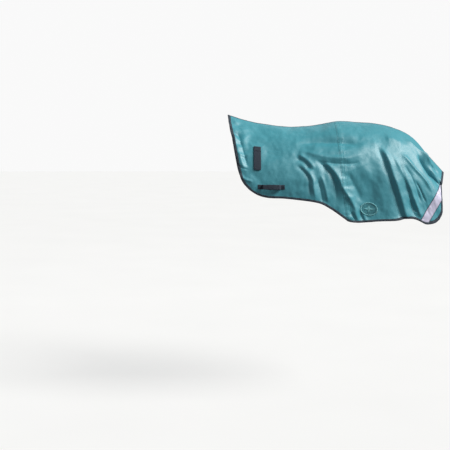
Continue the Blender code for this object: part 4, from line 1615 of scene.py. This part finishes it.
@dataclass
class ReflectiveStrip:
    """The reflective strip across the rear lower corner, with its dark edging.

    overrun is how far the middle line goes past the strip each way, as a share of its length, and
    hem_start is the number of the first of the hem's places that the strip may come near.
    """

    shop: Workshop
    top_place: tuple[float, float] = (0.9570, 0.490)
    hem_place: tuple[float, float] = (0.8740, 1.000)
    inset: float = 0.0427
    width: float = 0.028
    edging_width: float = 0.032
    edging_thickness: float = 0.0008
    face_thickness: float = 0.0006
    end_margin: float = 0.006
    overrun: float = 0.6
    row_inset: float = 0.0022
    hem_start: int = 200

    def gap(self, places: Array) -> Array:
        """Return the distance from flat places to the rear edge or the hem, on either side.

        Args:
            places: flat (x, cloth) places.

        Returns:
            One distance for each place.
        """
        drape = self.shop.drape
        edges = np.vstack([drape.rear[::2], drape.hem[self.hem_start:]])
        own = np.stack([places[..., 0], np.abs(places[..., 1])], -1)
        return np.linalg.norm(own[..., None, :] - edges, axis=-1).min(-1)

    def clear(self, places: Array) -> Array:
        """Return which flat places are clear of the edges, by the bindings' stitches."""
        return self.gap(places) > self.end_margin

    def path(self, side: Side) -> Array:
        """Return the strip's middle line, from past the rear edge to past the hem.

        Args:
            side: the side of the rug.

        Returns:
            The line's two flat ends.
        """
        drape = self.shop.drape
        top, low = drape.flat(*self.top_place), drape.flat(*self.hem_place)
        run = low - top
        across = unit(np.array([-run[1], run[0]]))
        centre = (top + low) / 2
        centre = centre + across * (self.inset - float(self.gap(centre)))
        return np.array([centre - run * self.overrun, centre + run * self.overrun]) * side.flip

    def build(self) -> None:
        """Make both sides' strips."""
        for side in Side:
            drape, word = self.shop.drape, side.word
            path, group = self.path(side), "quarter_" + word
            edging = Band(path, self.edging_width, LAYERS.trim_low, self.edging_thickness,
                          cells=20, tuck=(0.008, 0.008), clear=self.clear)
            self.shop.fit(edging.build(drape, "strip_edging_" + word), BINDING,
                          "strip_backing_" + word, group)
            low = LAYERS.trim_low + self.edging_thickness + 0.0001
            inset = self.width / 2 - self.row_inset
            face = Band(path, self.width, low, self.face_thickness, cells=24,
                        grooves=(-inset, inset), groove_depth=0.0003, pillow=0.0003,
                        tuck=(0.010, 0.010), clear=self.clear)
            self.shop.fit(face.build(drape, "strip_face_" + word), STRIP,
                          "reflective_strip_" + word, group)
            top = low + self.face_thickness + 0.0001
            rows = [(face.row(offset, (0.006, 0.006)), top) for offset in face.grooves]
            self.shop.sew("strip_stitches_" + word, rows, FINE_STITCH, GREY_THREAD, group)


@dataclass
class Badge:
    """The oval embroidered badge: a filled field, a satin rim, and a plain four-pointed star.

    Heights are over the cloth, and outlines are ovals of stitches: their scale and their height.
    """

    shop: Workshop
    place: tuple[float, float] = (0.622, 0.865)
    length: float = 0.098
    height: float = 0.074
    rim: float = 0.0060
    cells: int = 44
    inset: float = 0.001
    pad_low: float = 0.0006
    pad_rise: float = 0.0005
    pad_edge: float = 0.25
    rim_top: float = 0.0017
    outlines: tuple[tuple[float, float], ...] = ((0.83, 0.0013), (1.085, 0.0002))
    ring_points: int = 12
    ring_height: float = 0.0009
    star_reach: float = 0.62
    star_width: float = 0.015
    star_thickness: float = 0.0007
    star_low: float = 0.0010
    star_step: float = 0.0002

    def build(self) -> None:
        """Make the badge of each side."""
        for side in Side:
            self.field(side)
            self.ring(side)
            self.star(side)

    def field(self, side: Side) -> None:
        """Make the filled oval."""
        drape, word = self.shop.drape, side.word
        centre = drape.flat(*self.place)
        u, v = np.meshgrid(*[np.linspace(-1, 1, self.cells + 1)] * 2, indexing="ij")
        disc = np.stack([u * np.sqrt(1 - v ** 2 / 2), v * np.sqrt(1 - u ** 2 / 2)], -1)
        size = np.array([self.length, self.height]) / 2 - self.inset
        flat = (centre + disc * size) * side.flip
        radius = np.hypot(disc[..., 0], disc[..., 1])
        swell = smooth_step((1 - radius) / self.pad_edge)
        top = LAYERS.shell_top + self.pad_low + self.pad_rise * swell
        piece = slab("badge_field_" + word, drape.lift(flat, top),
                     drape.lift(flat, np.full(top.shape, LAYERS.trim_low)), flat)
        self.shop.fit(piece, BADGE_FIELD, "badge_" + word, "quarter_" + word)

    def oval(self, side: Side, scale: float, count: int = 160) -> Array:
        """Return an oval's flat places, as a share of the badge's size.

        Args:
            side: the side of the rug.
            scale: its share of the rim's own oval.
            count: how many places to return.

        Returns:
            The places.
        """
        angles = np.linspace(0, 2 * math.pi, count, endpoint=False)
        size = (np.array([self.length, self.height]) - self.rim) / 2 * scale
        ring = np.stack([np.cos(angles), np.sin(angles)], -1) * size
        return (self.shop.drape.flat(*self.place) + ring) * side.flip

    def ring(self, side: Side) -> None:
        """Make the satin rim: a low roll of padding under close stitches across it."""
        drape, word = self.shop.drape, side.word
        path = self.oval(side, 1.0)
        ahead = unit(np.roll(path, -1, 0) - np.roll(path, 1, 0))
        aside = np.stack([-ahead[:, 1], ahead[:, 0]], -1)
        angles = np.linspace(0, 2 * math.pi, self.ring_points, endpoint=False)
        offset, height = np.cos(angles) * self.rim / 2, np.sin(angles) * self.ring_height
        flat = path[:, None, :] + aside[:, None, :] * offset[None, :, None]
        rings = drape.lift(flat, np.broadcast_to(LAYERS.shell_top + 0.0011 + height, flat.shape[:2]))
        run = np.arange(len(path)) * np.linalg.norm(path[1] - path[0])
        uvs = np.stack(np.broadcast_arrays(run[:, None], offset[None, :]), -1)
        piece = tube("badge_rim_" + word, rings, uvs, closed=True)
        self.shop.fit(piece, BADGE_RIM, group="quarter_" + word)
        rows = [(np.vstack([path, path[:1]]), LAYERS.shell_top + self.rim_top)]
        self.shop.sew("badge_rim_stitches_" + word, rows, RIM_STITCH, BADGE_THREAD,
                      "quarter_" + word)

    def star(self, side: Side) -> None:
        """Make the star of two crossed leaves, and a thin oval round it."""
        drape, word = self.shop.drape, side.word
        centre = drape.flat(*self.place)
        low = LAYERS.shell_top + self.star_low

        def leaf(shares: Array) -> Array:
            """Return a leaf's width along it, as a share of its widest."""
            return 0.08 + 0.92 * np.sin(np.clip(shares, 0, 1) * math.pi) ** 1.6

        for number, way in enumerate(([self.length / 2, 0], [0, self.height / 2])):
            reach = np.array(way) * self.star_reach
            band = Band(np.array([centre - reach, centre + reach]) * side.flip, self.star_width,
                        low + self.star_step * number, self.star_thickness, step=0.0015,
                        cells=10, pillow=0.0006, narrow=leaf)
            self.shop.fit(band.build(drape, f"badge_leaf_{number + 1}_{word}"), BADGE_RIM,
                          group="quarter_" + word)
        rows = []
        for scale, height in self.outlines:
            path = self.oval(side, scale)
            rows.append((np.vstack([path, path[:1]]), LAYERS.shell_top + height))
        self.shop.sew("badge_line_stitches_" + word, rows, OUTLINE_STITCH, BADGE_LINE,
                      "quarter_" + word)


@dataclass
class Loop:
    """A loop of webbing, sewn down at both ends."""

    shop: Workshop
    name: str
    node: str
    place: tuple[float, float]
    web: float
    span: float
    rise: float
    inside: bool
    group: str
    end: float = 0.020
    slope: float = 0.007
    thickness: float = 0.0018
    margin: float = 0.0028
    sewing_gap: float = 0.0004
    bow: float = 0.0010

    def build(self) -> None:
        """Make the loop of each side."""
        for side in Side:
            self.strap(side)

    def bridge(self, run: Array) -> Array:
        """Return the webbing's height over the cloth along its run.

        Args:
            run: lengths along the webbing.

        Returns:
            One height for each.
        """
        half = run[-1] / 2
        off = np.abs(run - half)
        lifted = smooth_step((self.span / 2 + self.slope - off) / self.slope)
        bow = self.bow * np.cos(np.clip(off / self.span, 0, 1) * math.pi)
        height = lifted * (self.rise + bow)
        return -height if self.inside else height

    def strap(self, side: Side) -> None:
        """Make one side's webbing and its boxes of stitches."""
        drape, word = self.shop.drape, side.word
        centre = drape.flat(*self.place)
        reach = self.span / 2 + self.slope + self.end
        path = np.array([centre - [reach, 0.0], centre + [reach, 0.0]]) * side.flip
        gap = self.sewing_gap
        face = LAYERS.lining_low - gap - self.thickness if self.inside else LAYERS.shell_top + gap
        band = Band(path, self.web, face, self.thickness, step=0.0015, cells=14, rise=self.bridge)
        group = f"{self.group}_{word}"
        self.shop.fit(band.build(drape, f"{self.name}_{word}"), WEBBING, f"{self.node}_{word}", group)
        height = face - 0.0001 if self.inside else face + self.thickness + 0.0001
        inset = self.web / 2 - self.margin
        rows = []
        for start in (-reach + self.margin, reach - self.end + self.margin):
            end = start + self.end - 2 * self.margin
            a, b, c, d = (start, -inset), (end, -inset), (end, inset), (start, inset)
            rows += [(flat, height)
                     for flat in sewing_paths(centre, side, (a, b, c, d, a), (a, c), (d, b))]
        self.shop.sew(f"{self.name}_stitches_{word}", rows, FINE_STITCH, NAVY_THREAD, group)


@dataclass
class SaddleTab:
    """The tab that holds the rug to the saddle: sewn base, swinging tab, hooks and pile."""

    shop: Workshop
    place: tuple[float, float] = (0.130, 0.300)
    width: float = 0.040
    length: float = 0.110
    base: float = 0.030
    patch: float = 0.050
    margin: float = 0.002
    hinge_gap: float = 0.0009
    skin: float = 0.0024
    pile_top: float = 0.0040
    pile_nap: float = 0.0004
    row_inset: float = 0.003
    root_end: float = 0.004
    hook_end: float = 0.004
    hook_share: float = 0.94
    tip_share: float = 0.28
    tip_width: float = 0.72
    nap_step: float = 0.002
    hook_low: float = 0.0044
    hook_top: float = 0.0056
    tab_low: float = 0.0060
    tab_top: float = 0.0078

    def build(self) -> None:
        """Make the tab of each side."""
        for side in Side:
            self.tab(side)

    def line(self, side: Side, start: float, end: float, offset: float = 0.0) -> Array:
        """Return the flat line down the cloth between two distances from the hinge."""
        centre = self.shop.drape.flat(*self.place)
        return np.array([centre + [offset, start], centre + [offset, end]]) * side.flip

    def box(self, side: Side, start: float, end: float, half: float, crossed: bool) -> Rows:
        """Return the rows of a box of stitches on the tab's top.

        Args:
            side: the side of the rug.
            start: where the box starts, from the hinge.
            end: where it ends.
            half: its half width.
            crossed: whether two rows cross it from corner to corner.

        Returns:
            Each row's flat places and height.
        """
        a, b, c, d = (-half, start), (half, start), (half, end), (-half, end)
        routes = [(a, b, c, d, a)] + ([(a, c), (b, d)] if crossed else [])
        centre = self.shop.drape.flat(*self.place)
        return [(flat, self.tab_top) for flat in sewing_paths(centre, side, *routes)]

    def strip(self, name: str, line: Array, width: float, heights: tuple[float, float],
              **settings: object) -> bpy.types.Object:
        """Return a flat strip of the tab.

        Args:
            name: the piece's name.
            line: its flat line.
            width: its width.
            heights: the heights of its underside and its top.
            **settings: the band's other settings.

        Returns:
            The new object.
        """
        low, top = heights
        return Band(line, width, low, top - low, **settings).build(self.shop.drape, name)

    def tab(self, side: Side) -> None:
        """Make one side's pieces and stitches."""
        shop, word = self.shop, side.word
        body, group = word + "_tab", "saddle_" + word
        end = self.length - self.margin
        start = end - self.patch
        width = self.width - 2 * self.margin
        pile_base = self.pile_top - self.pile_nap

        def tip(shares: Array) -> Array:
            """Return the strap's width along it, as a share, with its end's corners rounded."""
            round_share = self.width * self.tip_share / self.length
            t = np.clip((shares - (1 - round_share)) / round_share, 0, 1)
            return self.tip_width + (1 - self.tip_width) * np.sqrt(1 - t ** 2)

        root = self.strip("tab_root_" + word, self.line(side, -self.base, -self.hinge_gap),
                          self.width, (self.skin, self.tab_top), cells=18)
        shop.fit(root, WEBBING, "saddle_tab_base_" + word, group)
        strap = self.strip("tab_strap_" + word, self.line(side, self.hinge_gap, self.length),
                           self.width, (self.tab_low, self.tab_top), step=0.002, cells=18, narrow=tip)
        shop.fit(strap, WEBBING, "saddle_tab_" + word, body=body)
        hooks = self.strip("tab_hooks_" + word, self.line(side, start, end - self.hook_end),
                           width * self.hook_share, (self.hook_low, self.hook_top), cells=12)
        shop.fit(hooks, HOOKS, "saddle_tab_hook_" + word, body=body)
        pile = self.strip("tab_pile_" + word, self.line(side, start, end), width,
                          (self.skin, pile_base), cells=12)
        shop.fit(pile, HOOKS, "saddle_tab_pile_" + word, group)
        inset = self.row_inset
        half = self.width / 2 - inset
        shop.sew("tab_root_stitches_" + word,
                 self.box(side, -self.base + inset, -self.root_end, half, True),
                 FINE_STITCH, NAVY_THREAD, group)
        shop.sew("tab_strap_stitches_" + word,
                 self.box(side, start + 0.002, end - 0.008, half - 0.002, False),
                 FINE_STITCH, NAVY_THREAD, body=body)
        offsets = np.arange(-width / 2 + inset, width / 2 - 0.002, BRISTLE.pitch)
        paths = [even_path(self.line(side, start + inset, end - 0.007, offset), self.nap_step)
                 for offset in offsets]
        shop.sew("tab_hook_bristles_" + word, [(path, self.hook_low) for path in paths], BRISTLE,
                 HOOKS, body=body)
        shop.sew("tab_pile_loops_" + word, [(path, pile_base) for path in paths], BRISTLE, HOOKS,
                 group)


# ==== stage
@dataclass(frozen=True)
class SoftLight:
    """A square soft light: its name, where it hangs, its side, its power in watts, its colour."""

    name: str
    place: tuple[float, float, float]
    size: float
    power: float
    colour: Colour


SOFT_LIGHTS = (
    SoftLight("fill", (-3.8, -4.4, 1.6), 4.5, 14.0, (0.88, 0.95, 1.0)),
    SoftLight("back", (0.4, 4.6, 3.6), 3.6, 30.0, (0.94, 0.98, 1.0)),
)


@dataclass
class Studio:
    """The pale floor, the sun, the soft lights and the camera."""

    floor_height: float = -1.560
    floor_glow: float = 0.62
    floor_size: float = 60.0
    target: tuple[float, float, float] = (0.25, 0.0, -0.22)
    camera_place: tuple[float, float, float] = (-0.3725, -5.0, -0.035)
    camera_pitch: float = 6.02
    lens: float = 69.76
    sensor: float = 36.0
    sun_way: tuple[float, float, float] = (0.68, -0.33, 0.65)
    sun_energy: float = 4.3
    sun_spread: float = 32.0
    sun_colour: Colour = (1.0, 0.985, 0.96)
    ambient: float = 0.20
    ambient_colour: Colour = (0.90, 0.95, 1.0)
    backdrop: float = 0.95

    def build(self) -> None:
        """Make the stage."""
        self.floor()
        self.sun()
        for light in SOFT_LIGHTS:
            self.hang(light)
        self.world()
        self.camera()

    def floor(self) -> None:
        """Make the floor."""
        half = self.floor_size / 2
        mesh = bpy.data.meshes.new("floor")
        square = [(-half, -half), (half, -half), (half, half), (-half, half)]
        mesh.from_pydata([(x, y, self.floor_height) for x, y in square], [], [(0, 1, 2, 3)])
        floor = put_in_scene("floor", mesh)
        paint = Paint("floor_paint", 0.85)
        paint.colour(paint.mix(paint.noise(1.2, 3.0), (0.25, 0.25, 0.245), (0.29, 0.29, 0.285)))
        paint.set({"Emission Color": (1.0, 1.0, 0.995, 1.0), "Emission Strength": self.floor_glow})
        mesh.materials.append(paint.material)
        floor.visible_diffuse = False
        floor.visible_glossy = False

    def sun(self) -> None:
        """Make the key light: a wide soft sun from above, behind the hip."""
        lamp = bpy.data.lights.new("key", "SUN")
        lamp.energy, lamp.color = self.sun_energy, self.sun_colour
        lamp.angle = math.radians(self.sun_spread)
        way = Vector(self.sun_way)
        holder = put_in_scene("key", lamp)
        holder.location = way * 6.0
        holder.rotation_euler = (-way).to_track_quat("-Z", "Y").to_euler()

    def hang(self, light: SoftLight) -> None:
        """Hang a soft light so that it looks at the rug."""
        lamp = bpy.data.lights.new(light.name, "AREA")
        lamp.size, lamp.energy, lamp.color = light.size, light.power, light.colour
        holder = put_in_scene(light.name, lamp)
        holder.location = light.place
        way = Vector(self.target) - Vector(light.place)
        holder.rotation_euler = way.to_track_quat("-Z", "Y").to_euler()

    def world(self) -> None:
        """Make the surroundings: a soft light on the rug, and a pale backdrop for the camera."""
        world = bpy.data.worlds.new("studio")
        world.use_nodes = True
        tree = world.node_tree
        shade, seen = tree.nodes["Background"], tree.nodes.new("ShaderNodeBackground")
        for node, colour, strength in ((shade, self.ambient_colour, self.ambient),
                                       (seen, (1.0, 1.0, 1.0), self.backdrop)):
            node.inputs["Color"].default_value = (*colour, 1.0)
            node.inputs["Strength"].default_value = strength
        rays, mix = tree.nodes.new("ShaderNodeLightPath"), tree.nodes.new("ShaderNodeMixShader")
        tree.links.new(rays.outputs["Is Camera Ray"], mix.inputs[0])
        tree.links.new(shade.outputs[0], mix.inputs[1])
        tree.links.new(seen.outputs[0], mix.inputs[2])
        tree.links.new(mix.outputs[0], tree.nodes["World Output"].inputs["Surface"])
        bpy.context.scene.world = world
        bpy.context.scene.view_settings.view_transform = "Standard"

    def camera(self) -> None:
        """Make the camera."""
        lens = bpy.data.cameras.new("camera")
        lens.lens, lens.sensor_width = self.lens, self.sensor
        camera = put_in_scene("camera", lens)
        camera.location = self.camera_place
        camera.rotation_euler = (math.radians(90.0 - self.camera_pitch), 0.0, 0.0)
        bpy.context.scene.camera = camera


def main() -> None:
    """Build the rug and its stage."""
    logging.basicConfig(level=logging.INFO, format="%(message)s")
    shop = Workshop(Drape(), StitchTree())
    panels = Panels(shop)
    panels.build()
    Bindings(shop).build()
    Tapes(shop).build()
    ReflectiveStrip(shop).build()
    Badge(shop).build()
    Loop(shop, "girth_strap", "girth_loop", (0.190, 0.640), web=0.025, span=0.090, rise=0.018,
         inside=False, group="saddle").build()
    Loop(shop, "tail_strap", "tail_cord_loop", (0.890, 0.680), web=0.020, span=0.034, rise=0.013,
         inside=True, group="lining").build()
    SaddleTab(shop).build()
    Studio().build()


if __name__ == "__main__":
    main()
